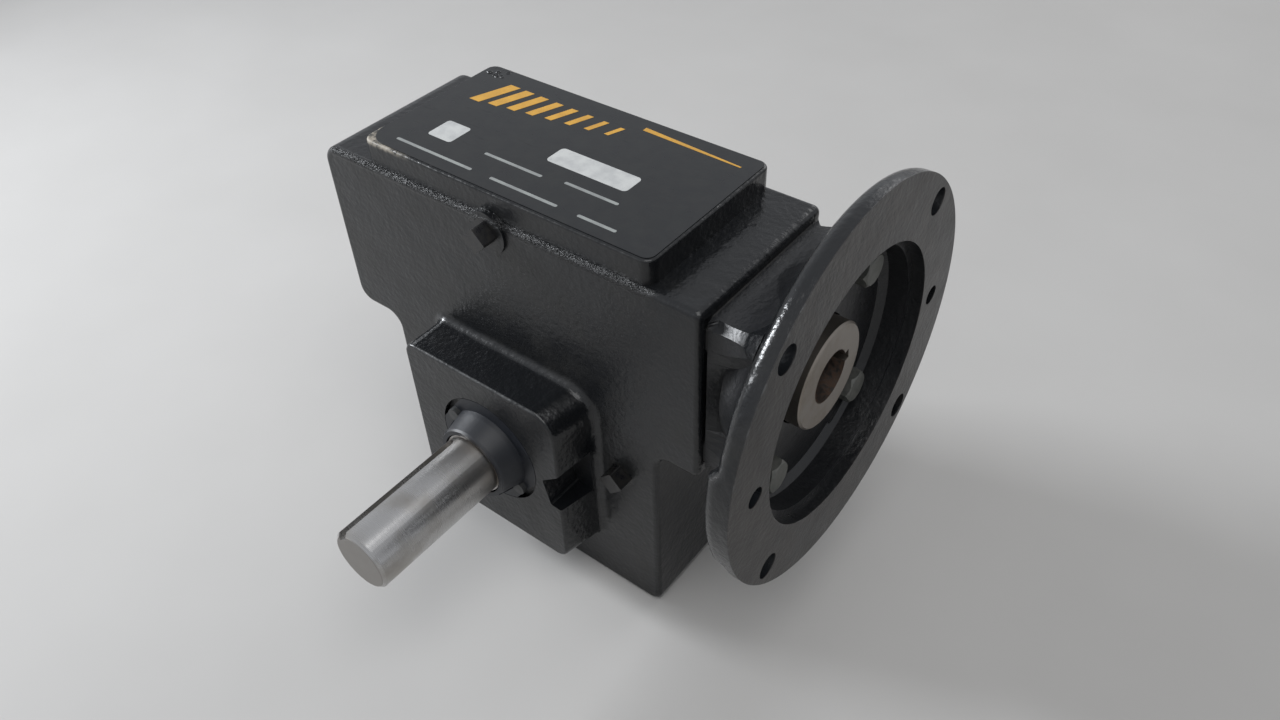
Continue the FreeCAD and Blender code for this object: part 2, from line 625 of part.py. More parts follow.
def make_worm_shaft():
    """Hollow quill, collar and worm in one piece."""
    collar_x = BEARING_STATION_X - QUILL_COLLAR_WIDTH
    rear = REAR_STATION_X + REAR_WORM_BEARING[2]
    core = turned([
        (REAR_STATION_X, 0), (REAR_STATION_X, REAR_WORM_BEARING[0] - 1),
        (REAR_STATION_X + 1, REAR_WORM_BEARING[0]), (rear, REAR_WORM_BEARING[0]),
        (rear, WORM_ROOT_R), (WORM_HALF_LENGTH + 4, WORM_ROOT_R), (collar_x, QUILL_COLLAR_R - 4),
        (collar_x, QUILL_COLLAR_R), (BEARING_STATION_X, QUILL_COLLAR_R),
        (BEARING_STATION_X, QUILL_R), (QUILL_END_X - 0.8, QUILL_R),
        (QUILL_END_X, QUILL_R - 0.8), (QUILL_END_X, 0),
    ], WORM_CENTRE, X_AXIS)
    limit = turned([
        (-WORM_HALF_LENGTH, 0), (-WORM_HALF_LENGTH, WORM_ROOT_R - 0.5),
        (-WORM_HALF_LENGTH + 4, WORM_TIP_R + 0.5), (WORM_HALF_LENGTH - 4, WORM_TIP_R + 0.5),
        (WORM_HALF_LENGTH, WORM_ROOT_R - 0.5), (WORM_HALF_LENGTH, 0),
    ], WORM_CENTRE, X_AXIS)
    for index in range(WORM_STARTS):
        core = core.fuse(worm_thread(index * 360.0 / WORM_STARTS).common(limit))
    bore = cylinder_x(QUILL_BORE_R, QUILL_END_X - QUILL_BORE_LENGTH, QUILL_END_X + 1)
    slot = Part.makeBox(QUILL_BORE_LENGTH + 1, QUILL_BORE_R + QUILL_KEY_DEPTH, QUILL_KEY_WIDTH)
    slot.translate(Vector(QUILL_END_X - QUILL_BORE_LENGTH, 0, WORM_AXIS_Z - QUILL_KEY_WIDTH / 2))
    slot.rotate(WORM_CENTRE, X_AXIS, QUILL_KEY_ANGLE)
    return core.cut([bore, slot])


def gear_outline(y):
    """Transverse outline of the gear: rack-matched involute flanks and a round root."""
    tip_r = GEAR_PITCH_R + MODULE
    root_r = GEAR_PITCH_R - 1.2 * MODULE
    base_r = GEAR_PITCH_R * math.cos(PRESSURE_ANGLE)
    half_pitch_angle = (WORM_PITCH / 2 - BACKLASH) / 2 / GEAR_PITCH_R
    pitch_involute = math.tan(PRESSURE_ANGLE) - PRESSURE_ANGLE

    def half_angle(radius):
        if radius <= base_r:
            return half_pitch_angle + pitch_involute
        pressure = math.acos(base_r / radius)
        return half_pitch_angle + pitch_involute - (math.tan(pressure) - pressure)

    def point(radius, angle):
        return Vector(radius * math.sin(angle), y, radius * math.cos(angle))

    edges = []
    step = 2 * math.pi / GEAR_TEETH
    middle_r = (root_r + tip_r) / 2 + 0.6
    for index in range(GEAR_TEETH):
        centre = (index + 0.5) * step
        left_root = point(root_r, centre - half_angle(root_r))
        left_tip = point(tip_r, centre - half_angle(tip_r))
        right_tip = point(tip_r, centre + half_angle(tip_r))
        right_root = point(root_r, centre + half_angle(root_r))
        left_middle = point(middle_r, centre - half_angle(middle_r))
        right_middle = point(middle_r, centre + half_angle(middle_r))
        next_root = point(root_r, centre + step - half_angle(root_r))
        edges.append(Part.Arc(left_root, left_middle, left_tip).toShape())
        edges.append(Part.makeLine(left_tip, right_tip))
        edges.append(Part.Arc(right_tip, right_middle, right_root).toShape())
        edges.append(Part.makeLine(right_root, next_root))
    return Part.Wire(edges)


def make_gear_rim():
    """Bronze worm-gear rim: teeth twisted to the worm's lead angle."""
    twist_per_mm = WORM_LEAD / (2 * math.pi * WORM_PITCH_R) / GEAR_PITCH_R
    stations = (-GEAR_HALF_WIDTH, 0.0, GEAR_HALF_WIDTH)
    sections = []
    for station in stations:
        wire = gear_outline(station)
        wire.rotate(Vector(0, 0, 0), Y_AXIS, math.degrees(station * twist_per_mm))
        sections.append(wire)
    blank = Part.makeLoft(sections, True, True)
    blank.translate(OUTPUT_CENTRE)
    return blank.cut(cylinder_y(HUB_R, -GEAR_HALF_WIDTH - 1, GEAR_HALF_WIDTH + 1))


def make_gear_hub():
    web = HUB_R - 4
    hub = turned([
        (-HUB_HALF_WIDTH, GEAR_SEAT_R), (-HUB_HALF_WIDTH, GEAR_SEAT_R + 6),
        (-GEAR_HALF_WIDTH, web), (-GEAR_HALF_WIDTH, HUB_R), (GEAR_HALF_WIDTH, HUB_R),
        (GEAR_HALF_WIDTH, web), (HUB_HALF_WIDTH, GEAR_SEAT_R + 6), (HUB_HALF_WIDTH, GEAR_SEAT_R),
    ], OUTPUT_CENTRE, Y_AXIS)
    return hub.cut(gear_key_shape())


def gear_key_shape():
    key = Part.makeBox(GEAR_KEY_WIDTH, GEAR_KEY_LENGTH, GEAR_KEY_HEIGHT)
    foot = OUTPUT_AXIS_Z + GEAR_SEAT_R - GEAR_KEY_DEPTH
    key.translate(Vector(-GEAR_KEY_WIDTH / 2, -GEAR_KEY_LENGTH / 2, foot))
    return key


def make_output_shaft():
    """Solid shaft: free end, seal journal, front bearing seat, shoulder, gear seat, rear bearing seat."""
    inner, outer, width = OUTPUT_BEARING
    front_in = FRONT_BEARING_Y + width
    journal = BOSS_FRONT_Y - GUARD_REACH + JOURNAL_INSET
    shaft = turned([
        (SHAFT_END_Y, 0), (SHAFT_END_Y, SHAFT_R - SHAFT_CHAMFER), (SHAFT_END_Y + SHAFT_CHAMFER, SHAFT_R),
        (journal, SHAFT_R), (journal, JOURNAL_R), (front_in, inner),
        (front_in, SHAFT_SHOULDER_R), (-HUB_HALF_WIDTH, SHAFT_SHOULDER_R),
        (-HUB_HALF_WIDTH, GEAR_SEAT_R), (HUB_HALF_WIDTH, GEAR_SEAT_R),
        (HUB_HALF_WIDTH, inner), (REAR_BEARING_Y + width - 1, inner),
        (REAR_BEARING_Y + width, inner - 1), (REAR_BEARING_Y + width, 0),
    ], OUTPUT_CENTRE, Y_AXIS)
    shaft.rotate(OUTPUT_CENTRE, Y_AXIS, 90 + SEAM_FROM_KEY - SHAFT_KEY_ANGLE)
    half = SHAFT_KEY_WIDTH / 2
    depth_x = SHAFT_R - SHAFT_KEY_DEPTH
    slot = Part.makeBox(SHAFT_R, SHAFT_KEY_END_Y - SHAFT_END_Y - half + 1, SHAFT_KEY_WIDTH)
    slot.translate(Vector(depth_x, SHAFT_END_Y - 1, -half))
    mill = Part.makeCylinder(half, SHAFT_R, Vector(depth_x, SHAFT_KEY_END_Y - half, 0), X_AXIS)
    cutter = slot.fuse(mill)
    cutter.rotate(Vector(0, 0, 0), Y_AXIS, -SHAFT_KEY_ANGLE)
    cutter.translate(OUTPUT_CENTRE)
    return shaft.cut([cutter, gear_key_shape()])


def make_gear_spacer():
    return ring(OUTPUT_CENTRE, Y_AXIS, HUB_HALF_WIDTH, REAR_BEARING_Y, OUTPUT_BEARING[0], GEAR_SEAT_R + 2)


def ball_bearing(size, centre, axis, start):
    """Deep-groove ball bearing; its grooves are turned from a many-sided profile."""
    inner, outer, width = size
    pitch_r = (inner + outer) / 2
    ball_r = (outer - inner) * BALL_SHARE
    wall = (outer - inner) * RACE_SHARE
    count = round(math.pi * pitch_r / (2 * ball_r))
    middle = centre + axis * (start + width / 2)
    half = width / 2
    step = math.pi / GROOVE_FACETS
    groove_r = (ball_r + RUNNING_GAP) / math.cos(step)
    groove = turned([(groove_r * math.cos(2 * step * turn), pitch_r + groove_r * math.sin(2 * step * turn))
                     for turn in range(GROOVE_FACETS)], middle, axis)
    outer_race = ring(middle, axis, -half, half, outer - wall, outer).cut(groove)
    inner_race = ring(middle, axis, -half, half, inner, inner + wall).cut(groove)
    ball = Part.makeSphere(ball_r, middle + Z_AXIS * pitch_r)
    reach = ball_r + CAGE_WALL
    cage = ring(middle, axis, -reach, reach, pitch_r - 2 * CAGE_WALL, pitch_r + 2 * CAGE_WALL)
    deep = 4 * CAGE_WALL
    pocket = Part.makeCylinder(ball_r + RUNNING_GAP, 2 * deep, middle + Z_AXIS * (pitch_r - deep), Z_AXIS)
    cage = cage.cut(around(pocket, count, middle, axis))
    return outer_race, inner_race, cage, Part.Compound(around(ball, count, middle, axis))


def roller_bearing(size, centre, axis, start, opens):
    """Tapered roller bearing; opens is +1 where its wide side faces along the axis."""
    inner, outer, width = size
    pitch_r = (inner + outer) / 2
    roller_r = (outer - inner) * ROLLER_SHARE
    count = round(math.pi * pitch_r / (2 * roller_r))
    slope = math.radians(ROLLER_SLOPE) * opens
    middle = centre + axis * (start + width / 2)
    half = width / 2
    reach = half - ROLLER_INSET
    rise = half * math.tan(slope)
    face_r = (roller_r + RUNNING_GAP) / math.cos(slope)
    cup = turned([(-half, pitch_r + face_r - rise), (half, pitch_r + face_r + rise),
                  (half, outer), (-half, outer)], middle, axis)
    cone = turned([(-half, inner), (half, inner), (half, pitch_r - face_r + rise),
                   (-half, pitch_r - face_r - rise)], middle, axis)
    lean = axis * math.cos(slope) + Z_AXIS * math.sin(slope)
    seat = middle + Z_AXIS * pitch_r - lean * reach
    roller = Part.makeCylinder(roller_r, 2 * reach, seat, lean)
    long = 2 * (reach + RUNNING_GAP)
    pocket = Part.makeCylinder(roller_r + RUNNING_GAP, long, seat - lean * RUNNING_GAP, lean)
    end = half - CAGE_INSET
    end_rise = end * math.tan(slope)
    cage = turned([(-end, pitch_r - CAGE_WALL - end_rise), (end, pitch_r - CAGE_WALL + end_rise),
                   (end, pitch_r + CAGE_WALL + end_rise), (-end, pitch_r + CAGE_WALL - end_rise)],
                  middle, axis)
    cage = cage.cut(around(pocket, count, middle, axis))
    return cup, cone, cage, Part.Compound(around(roller, count, middle, axis))


def make_input_seal():
    end = RECESS_FLOOR_X - INPUT_SEAL_INSET
    lip = QUILL_R + SEAL_GAP
    return turned([(end - SEAL_WIDTH, lip + 2), (end - SEAL_WIDTH, INPUT_SEAL_R), (end, INPUT_SEAL_R),
                   (end, lip), (end - 2, lip)], WORM_CENTRE, X_AXIS)


def make_output_seal():
    start = BOSS_FRONT_Y + GUARD_BASE
    lip = JOURNAL_R + SEAL_GAP
    return turned([(start, lip), (start, OUTPUT_SEAL_R), (start + SEAL_WIDTH, OUTPUT_SEAL_R),
                   (start + SEAL_WIDTH, lip + 1.5), (start + 2, lip)], OUTPUT_CENTRE, Y_AXIS)


def guard_holes(radius, start, end):
    return [cylinder_y(radius, start, end, x, z) for x, z in guard_screw_sites()]


def make_seal_guard():
    """Seal guard: a plate let into the boss, two flats by its screws, and a cone round the shaft."""
    front = BOSS_FRONT_Y
    nose = front - GUARD_REACH
    bore = JOURNAL_R + GUARD_BORE_GAP
    guard = turned([
        (front + GUARD_BASE, bore), (front + GUARD_BASE, GUARD_PLATE_R), (front, GUARD_PLATE_R),
        (front, GUARD_BASE_R), (front - 2, GUARD_BASE_R - 0.4), (nose + 1, GUARD_NOSE_R + 0.6),
        (nose, GUARD_NOSE_R), (nose, bore),
    ], OUTPUT_CENTRE, Y_AXIS)
    beyond = Part.makeBox(GUARD_PLATE_R, GUARD_BASE + 2, 2 * GUARD_PLATE_R)
    beyond.translate(Vector(GUARD_FLAT, front - 1, OUTPUT_AXIS_Z - GUARD_PLATE_R))
    guard = guard.cut(around(beyond, 2, OUTPUT_CENTRE, Y_AXIS, GUARD_SCREW_TILT))
    guard = guard.cut(guard_holes(GUARD_HEAD_R + GUARD_HEAD_GAP, nose - 1, front))
    return guard.cut(guard_holes(GUARD_SCREW_R + SCREW_CLEARANCE, front - 1, front + GUARD_BASE + 1))


def make_guard_screws():
    screws = []
    end = BOSS_FRONT_Y + GUARD_BASE + GUARD_SCREW_REACH
    for x, z in guard_screw_sites():
        head = cylinder_y(GUARD_HEAD_R, BOSS_FRONT_Y - GUARD_HEAD_HEIGHT, BOSS_FRONT_Y, x, z)
        screws.append(head.fuse(cylinder_y(GUARD_SCREW_R, BOSS_FRONT_Y, end, x, z)))
    return Part.Compound(screws)


def build():
    nodes = {
        "housing": make_housing(),
        "worm_end_plug": make_end_plug(),
        "motor_adapter": make_motor_adapter(),
        "adapter_gasket": make_adapter_gasket(),
        "adapter_screws": make_adapter_screws(),
        "rear_cover": make_rear_cover(),
        "rear_cover_gasket": make_cover_gasket(),
        "rear_cover_screws": make_cover_screws(),
        "worm_shaft": make_worm_shaft(),
        "gear_rim": make_gear_rim(),
        "gear_hub": make_gear_hub(),
        "gear_key": gear_key_shape(),
        "gear_spacer": make_gear_spacer(),
        "output_shaft": make_output_shaft(),
        "input_seal": make_input_seal(),
        "output_seal": make_output_seal(),
        "seal_guard": make_seal_guard(),
        "seal_guard_screws": make_guard_screws(),
        "fill_plug": square_plug(FILL_PLUG_X, FILL_FACE_Y, FILL_PLUG_Z, -Y_AXIS),
        "level_plug": square_plug(LEVEL_PLUG_X, -BLOCK_HALF_WIDTH, LEVEL_PLUG_Z, -Y_AXIS),
    }
    bearings = {
        "worm_front": ball_bearing(FRONT_WORM_BEARING, WORM_CENTRE, X_AXIS, BEARING_STATION_X),
        "worm_rear": ball_bearing(REAR_WORM_BEARING, WORM_CENTRE, X_AXIS, REAR_STATION_X),
        "output_front": roller_bearing(OUTPUT_BEARING, OUTPUT_CENTRE, Y_AXIS, FRONT_BEARING_Y, 1),
        "output_rear": roller_bearing(OUTPUT_BEARING, OUTPUT_CENTRE, Y_AXIS, REAR_BEARING_Y, -1),
    }
    for name, (outer, inner, cage, rolling) in bearings.items():
        nodes[name + "_bearing_outer_race"] = outer
        nodes[name + "_bearing_inner_race"] = inner
        nodes[name + "_bearing_cage"] = cage
        nodes[name + "_bearing_" + ("balls" if name.startswith("worm") else "rollers")] = rolling
    return nodes


def main():
    os.makedirs("parts", exist_ok=True)
    for name, shape in build().items():
        shape.exportStep("parts/" + name + ".step")
        print(name, "solids", len(shape.Solids), "valid", shape.isValid(), "volume", round(shape.Volume))


main()
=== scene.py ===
# %% [markdown]
# # A right-angle worm gearbox
#
# This lesson dresses a worm gear reducer: an iron casting in thick black gloss paint, a machined
# motor flange on its right, and a ground steel shaft that leaves the front. The engineering shapes
# arrive as a fixed frame, so the work here is finish: paint, iron, steel, bronze and rubber, and
# the small repeated things that a casting carries.

# %% Load the frame
import json
import math

import bmesh
import bpy
from mathutils import Matrix, Vector
from mathutils.bvhtree import BVHTree


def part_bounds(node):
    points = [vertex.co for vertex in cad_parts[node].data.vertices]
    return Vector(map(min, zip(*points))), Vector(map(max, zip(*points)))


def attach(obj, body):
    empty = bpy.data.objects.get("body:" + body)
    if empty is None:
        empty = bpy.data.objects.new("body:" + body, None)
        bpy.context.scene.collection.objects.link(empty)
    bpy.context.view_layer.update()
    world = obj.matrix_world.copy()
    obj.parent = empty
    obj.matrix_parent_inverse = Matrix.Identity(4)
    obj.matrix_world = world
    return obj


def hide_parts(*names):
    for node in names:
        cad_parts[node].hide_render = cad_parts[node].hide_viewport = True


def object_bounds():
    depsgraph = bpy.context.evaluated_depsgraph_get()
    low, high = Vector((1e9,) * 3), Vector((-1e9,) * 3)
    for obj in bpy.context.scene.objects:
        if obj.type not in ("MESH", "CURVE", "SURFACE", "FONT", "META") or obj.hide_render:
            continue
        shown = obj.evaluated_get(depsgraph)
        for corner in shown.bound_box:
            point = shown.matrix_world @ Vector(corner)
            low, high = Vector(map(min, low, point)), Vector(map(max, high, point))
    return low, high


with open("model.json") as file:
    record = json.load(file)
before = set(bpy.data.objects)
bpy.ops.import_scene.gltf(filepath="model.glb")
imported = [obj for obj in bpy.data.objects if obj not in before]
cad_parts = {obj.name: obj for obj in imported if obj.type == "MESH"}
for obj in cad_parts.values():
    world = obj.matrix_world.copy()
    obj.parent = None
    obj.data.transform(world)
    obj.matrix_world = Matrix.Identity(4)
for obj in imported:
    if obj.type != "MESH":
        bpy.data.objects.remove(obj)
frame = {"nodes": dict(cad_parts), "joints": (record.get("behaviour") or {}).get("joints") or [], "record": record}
cad_low, cad_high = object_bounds()
print("CAD box", [round(v, 4) for v in cad_low], [round(v, 4) for v in cad_high])

# %% [markdown]
# ## Where things are
#
# Every piece is placed from the frame. A node's box gives its ends, and two axes follow from the
# joints in the record: the worm turns about one and the output shaft about the other. Edges could
# also be typed in as numbers, but these move with the frame when a size in it changes.

# %% Axes and faces
MILLIMETRE = 0.001

joint_places = {joint["name"]: Vector(joint["pos_m"]) for joint in frame["joints"]}
worm_axis = joint_places["worm_spin"]
output_axis = joint_places["output_spin"]
flange_low, flange_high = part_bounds("motor_adapter")
housing_low, housing_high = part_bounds("housing")
shaft_low, shaft_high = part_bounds("output_shaft")
quill_low, quill_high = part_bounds("worm_shaft")
flange_face_x = flange_high[0]
flange_radius = (flange_high[2] - flange_low[2]) / 2
pad_top_z = housing_high[2]
mount_sizes = {mount["name"]: mount for mount in frame["record"]["mounts"]}
pilot_radius = mount_sizes["motor_pilot"]["dims"]["r_mm"] / 1000
quill_bore_radius = mount_sizes["motor_bore"]["dims"]["r_mm"] / 1000
print("flange face at", round(flange_face_x, 4), "worm axis", tuple(worm_axis))
print("output shaft from y", round(shaft_low[1], 4), "to", round(shaft_high[1], 4))
print("worm shaft from x", round(quill_low[0], 4), "to", round(quill_high[0], 4))


def part_box(node, keep):
    """The box round those points of a node for which keep(point) holds."""
    kept = [vertex.co for vertex in frame["nodes"][node].data.vertices if keep(vertex.co)]
    return [Vector(pick(point[axis] for point in kept) for axis in range(3)) for pick in (min, max)]


pad_low, pad_high = part_box("housing", lambda point: point.z > pad_top_z - 2 * MILLIMETRE)
block_low, block_high = part_box("housing", lambda point: point.x > pad_high.x + 8 * MILLIMETRE)
boss_low, boss_high = part_box("housing", lambda point: point.y < housing_low[1] + 6 * MILLIMETRE)
print("label pad", tuple(round(v, 4) for v in pad_low), "block top", round(block_high.z, 4))
print("output boss top", round(boss_high.z, 4))

# %% [markdown]
# ## Writing shader maths as Python
#
# A finish can be wired by hand in the shader editor, but a script of new nodes and links is hard
# to follow. Node trees are easier to read as expressions. Value wraps one output socket, and its
# operators add Math nodes, so `1 - mask * 0.5` adds two of them. Finish is one material: it owns
# a Principled shader and has a single method that adds any other node.

# %% Value: one socket with operators
class Value:
    """A number that varies over the surface."""

    def __init__(self, finish, socket):
        self.finish = finish
        self.socket = socket

    def maths(self, operation, first, second=0.0):
        return self.finish.node("ShaderNodeMath", {"operation": operation}, {0: first, 1: second})

    def __add__(self, other):
        return self.maths("ADD", self, other)

    def __sub__(self, other):
        return self.maths("SUBTRACT", self, other)

    def __mul__(self, other):
        return self.maths("MULTIPLY", self, other)

    def __radd__(self, other):
        return self.maths("ADD", other, self)

    def __rsub__(self, other):
        return self.maths("SUBTRACT", other, self)

    def __rmul__(self, other):
        return self.maths("MULTIPLY", other, self)

    def most(self, other):
        return self.maths("MAXIMUM", self, other)

    def absolute(self):
        return self.maths("ABSOLUTE", self)

    def away(self, other):
        """How far the point (self, other) of a plane lies from the plane's origin."""
        return self.maths("SQRT", self * self + other * other)

    def near(self, place, reach):
        """1 at place, falling to 0 at reach to either side."""
        return 1 - (self - place).absolute().step(0.0, reach)

    def step(self, start, end):
        """0 below start, 1 above end, and smooth between."""
        return self.finish.node(
            "ShaderNodeMapRange", {"interpolation_type": "SMOOTHSTEP"},
            {"Value": self, "From Min": start, "From Max": end, "To Min": 0.0, "To Max": 1.0})


print("Value can", ", ".join(name for name in vars(Value) if not name.startswith("__")))

# %% Finish: one material
class Finish:
    """A material with a Principled shader and one way to add nodes."""

    def __init__(self, name):
        self.material = bpy.data.materials.new(name)
        self.material.use_nodes = True
        self.tree = self.material.node_tree
        self.tree.nodes.clear()
        output = self.tree.nodes.new("ShaderNodeOutputMaterial")
        self.shader = self.tree.nodes.new("ShaderNodeBsdfPrincipled")
        self.tree.links.new(self.shader.outputs["BSDF"], output.inputs["Surface"])

    def node(self, kind, settings=None, sockets=None, out=0):
        """Adds a node: settings first, then the values or links of its sockets."""
        node = self.tree.nodes.new(kind)
        for key, value in (settings or {}).items():
            setattr(node, key, value)
        for key, value in (sockets or {}).items():
            self.plug(node.inputs[key], value)
        return Value(self, node.outputs[out])

    def plug(self, socket, value):
        if isinstance(value, Value):
            self.tree.links.new(value.socket, socket)
        elif socket.type == "RGBA" and len(value) == 3:
            socket.default_value = (*value, 1.0)
        else:
            socket.default_value = value

    def place(self):
        return self.node("ShaderNodeTexCoord", out="Object")

    def axis(self, name):
        """The surface point's x, y or z in metres."""
        return self.node("ShaderNodeSeparateXYZ", {}, {0: self.place()}, out=name)

    def facing(self, name):
        """The x, y or z part of the surface's own direction."""
        normal = self.node("ShaderNodeNewGeometry", out="Normal")
        return self.node("ShaderNodeSeparateXYZ", {}, {0: normal}, out=name)

    def stretched(self, scale):
        """Object coordinates multiplied axis by axis, to draw a pattern out into streaks."""
        return self.node("ShaderNodeVectorMath", {"operation": "MULTIPLY"}, {0: self.place(), 1: scale})

    def noise(self, size, detail=3.0, roughness=0.5, at=None):
        """Soft noise whose lumps are about size metres across."""
        where = at or self.place()
        return self.node("ShaderNodeTexNoise", {}, {
            "Vector": where, "Scale": 1.0 / size, "Detail": detail, "Roughness": roughness})

    def blend(self, first, second, factor):
        """A colour from first to second as factor goes from 0 to 1."""
        return self.node("ShaderNodeMix", {"data_type": "RGBA"}, {0: factor, 6: first, 7: second}, out=2)

    def bump(self, height, depth, under=None):
        """A Bump node: height runs 0 to 1, depth is in metres."""
        sockets = {"Height": height, "Distance": depth, "Strength": 1.0}
        if under:
            sockets["Normal"] = under
        return self.node("ShaderNodeBump", {}, sockets)

    def rings(self, radius, pitch):
        """Waves that repeat with the radius, as a turning tool leaves them."""
        return self.node("ShaderNodeMath", {"operation": "SINE"}, {0: radius * (math.tau / pitch)})

    def shade(self, **sockets):
        names = {"color": "Base Color", "roughness": "Roughness", "metallic": "Metallic", "normal": "Normal"}
        for key, value in sockets.items():
            self.plug(self.shader.inputs[names[key]], value)
        return self.material


print("shader helpers ready")

# %% [markdown]
# ## Black paint over cast iron
#
# The casting is dipped or sprayed with a thick black enamel. It shows three scales of relief:
# the sand's fine grain, the slow waves of the casting, and the orange peel of the paint. The
# gloss isn't even either, because dust and oil dull it in patches. The relief could be sculpted,
# but it is so shallow that only its glints are seen. So each scale is a noise at its real size,
# and each Bump node tilts the normal that the one before it gave.

# %% Paint
PAINT_BLACK = (0.0068, 0.0076, 0.0090)
# The bloom's colour, for dust and for painted light on forward-facing faces.
PAINT_DUST_AND_FRONT_LIGHT = (0.0185, 0.0180, 0.0165)
PAINT_SCUFFED = (0.075, 0.077, 0.078)
BARE_FILLER = (0.36, 0.325, 0.27)
WAVE_SIZE, WAVE_DEPTH = 15 * MILLIMETRE, 0.45 * MILLIMETRE
PEEL_SIZE, PEEL_DEPTH = 2.4 * MILLIMETRE, 0.22 * MILLIMETRE
CRUMB_SIZE, CRUMB_DEPTH = 1.3 * MILLIMETRE, 1.1 * MILLIMETRE
SAND_SIZE = 0.8 * MILLIMETRE
HOUSING_SAND, COVER_SAND, FLANGE_SAND = 0.04 * MILLIMETRE, 0.08 * MILLIMETRE, 0.10 * MILLIMETRE
DUST_SIZE = 24 * MILLIMETRE
GLOSS_PATCH = 9 * MILLIMETRE


def paint_relief(finish, sand_depth, rough_patch=None):
    """Slow waves, orange peel and sand grain as one bumped normal."""
    waves = finish.noise(WAVE_SIZE, 2.0)
    peel = finish.noise(PEEL_SIZE, 1.5)
    sand = finish.noise(SAND_SIZE, 3.0, 0.6)
    relief = finish.bump(waves, WAVE_DEPTH)
    relief = finish.bump(peel, PEEL_DEPTH, relief)
    if rough_patch:
        crumbs = finish.noise(CRUMB_SIZE, 4.0, 0.7)
        relief = finish.bump(crumbs * rough_patch, CRUMB_DEPTH, relief)
    return finish.bump(sand, sand_depth, relief)


def paint_colour(finish):
    """Black, with a brownish bloom in patches: dust, made stronger by painted light where the surface looks
    forwards.
    """
    dust = finish.noise(DUST_SIZE, 5.0, 0.65).step(0.40, 0.78)
    forwards = (0.0 - finish.facing("Y")).step(0.4, 0.95)
    # Painted light: forward-facing surfaces get more of the bloom, so that side is lighter.
    dust_and_front_light = dust * (0.20 + 0.45 * forwards)
    return finish.blend(PAINT_BLACK, PAINT_DUST_AND_FRONT_LIGHT, dust_and_front_light), dust_and_front_light


def cast_paint(name, sand_depth, gloss, rough_patch=None):
    """Gives a finish with its colour, roughness, normal and the mask of its crumbly ground.

    rough_patch, if there is one, takes the finish and gives that mask.
    """
    finish = Finish(name)
    colour, dust_and_front_light = paint_colour(finish)
    patches = finish.noise(GLOSS_PATCH, 4.0)
    forwards = (0.0 - finish.facing("Y")).step(0.5, 0.95)
    roughness = gloss + 0.12 * patches + 0.20 * dust_and_front_light + 0.12 * forwards
    ground = rough_patch(finish) if rough_patch else None
    return finish, colour, roughness, paint_relief(finish, sand_depth, ground), ground


print("paint relief", WAVE_SIZE, PEEL_SIZE, SAND_SIZE)

# %% [markdown]
# ## Wear and painted glints on the gear case
#
# Paint goes first where castings knock together. Masks could be painted by hand, but then they
# would stay behind when a size in the frame changes. So each mark is a mask built from the
# distance to an edge of the frame, broken up by noise so that no line is clean: a thin rub along
# the output boss, a crumbly ledge under the label pad where sand was painted over, and a chip
# at the pad's front left corner that shows pale filler. The ledge's grey specks are partly paint
# worn off the crumbs and partly painted glints of its rough edge.

# %% The crumbly ledge
LEDGE_REACH = 3.2 * MILLIMETRE


def crumbly_ledge(finish):
    """The narrow ledge between the front face and the label pad."""
    height = finish.axis("Z")
    on_ledge = height.near(block_high.z - 0.3 * MILLIMETRE, LEDGE_REACH)
    in_front = 1 - finish.axis("Y").step(pad_low.y - 0.5 * MILLIMETRE, pad_low.y + 1.0 * MILLIMETRE)
    beside_pad = 1 - finish.axis("X").step(pad_high.x - 4 * MILLIMETRE, pad_high.x + 6 * MILLIMETRE)
    return on_ledge * in_front * beside_pad


housing_finish, colour, roughness, normal, ledge = cast_paint(
    "housing_paint", HOUSING_SAND, 0.15, crumbly_ledge)
print("ledge under the pad at", round(block_high.z, 4))

# %% Rubbed edges and the chipped corner
EDGE_RUB = 1.3 * MILLIMETRE
FOOT_RUB = 2.0 * MILLIMETRE
LIP_START, LIP_FULL = pad_top_z - 2.6 * MILLIMETRE, pad_top_z - 0.6 * MILLIMETRE
LIP_RUB = 3.4 * MILLIMETRE
CHIP_INSET = 3 * MILLIMETRE
CHIP_FULL, CHIP_END = 2.5 * MILLIMETRE, 7 * MILLIMETRE
GRIT_SIZE = 1.1 * MILLIMETRE
WEAR_PATCH = 5 * MILLIMETRE

across, along, height = (housing_finish.axis(name) for name in "XYZ")
grit = housing_finish.noise(GRIT_SIZE, 3.0, 0.65)
broken = housing_finish.noise(WEAR_PATCH, 4.0, 0.7)

boss_top = height.near(boss_high.z, EDGE_RUB)
boss_front = along.near(boss_low.y, EDGE_RUB)
boss_foot = along.near(block_low.y, FOOT_RUB)
past_left_side = across.step(boss_low.x - 2 * MILLIMETRE, boss_low.x)
past_right_side = across.step(boss_high.x - 9 * MILLIMETRE, boss_high.x)
on_boss = past_left_side * (1 - past_right_side)
rubbed_edge = boss_top * (boss_front + 0.5 * boss_foot) * on_boss * broken.step(0.30, 0.55)
# Grey specks on the ledge: paint worn off the crumbs, and painted glints of its rough edge.
specks_and_glints = ledge * grit.step(0.50, 0.64)
worn_and_glints = rubbed_edge.most(specks_and_glints * 0.85)

pad_lip = height.step(LIP_START, LIP_FULL)
near_front_left = 1 - across.step(pad_low.x + 14 * MILLIMETRE, pad_low.x + 30 * MILLIMETRE)
front_rub = along.near(pad_low.y, LIP_RUB) * near_front_left
left_lip = 1 - across.step(pad_low.x + 1 * MILLIMETRE, pad_low.x + LIP_RUB)
near_front = 1 - along.step(pad_low.y + 8 * MILLIMETRE, pad_low.y + 18 * MILLIMETRE)
corner_away = (across - pad_low.x - CHIP_INSET).away(along - pad_low.y - CHIP_INSET)
corner_chip = 1 - corner_away.step(CHIP_FULL, CHIP_END)
chipped = pad_lip * front_rub.most(left_lip * near_front).most(corner_chip) * broken.step(0.34, 0.52)

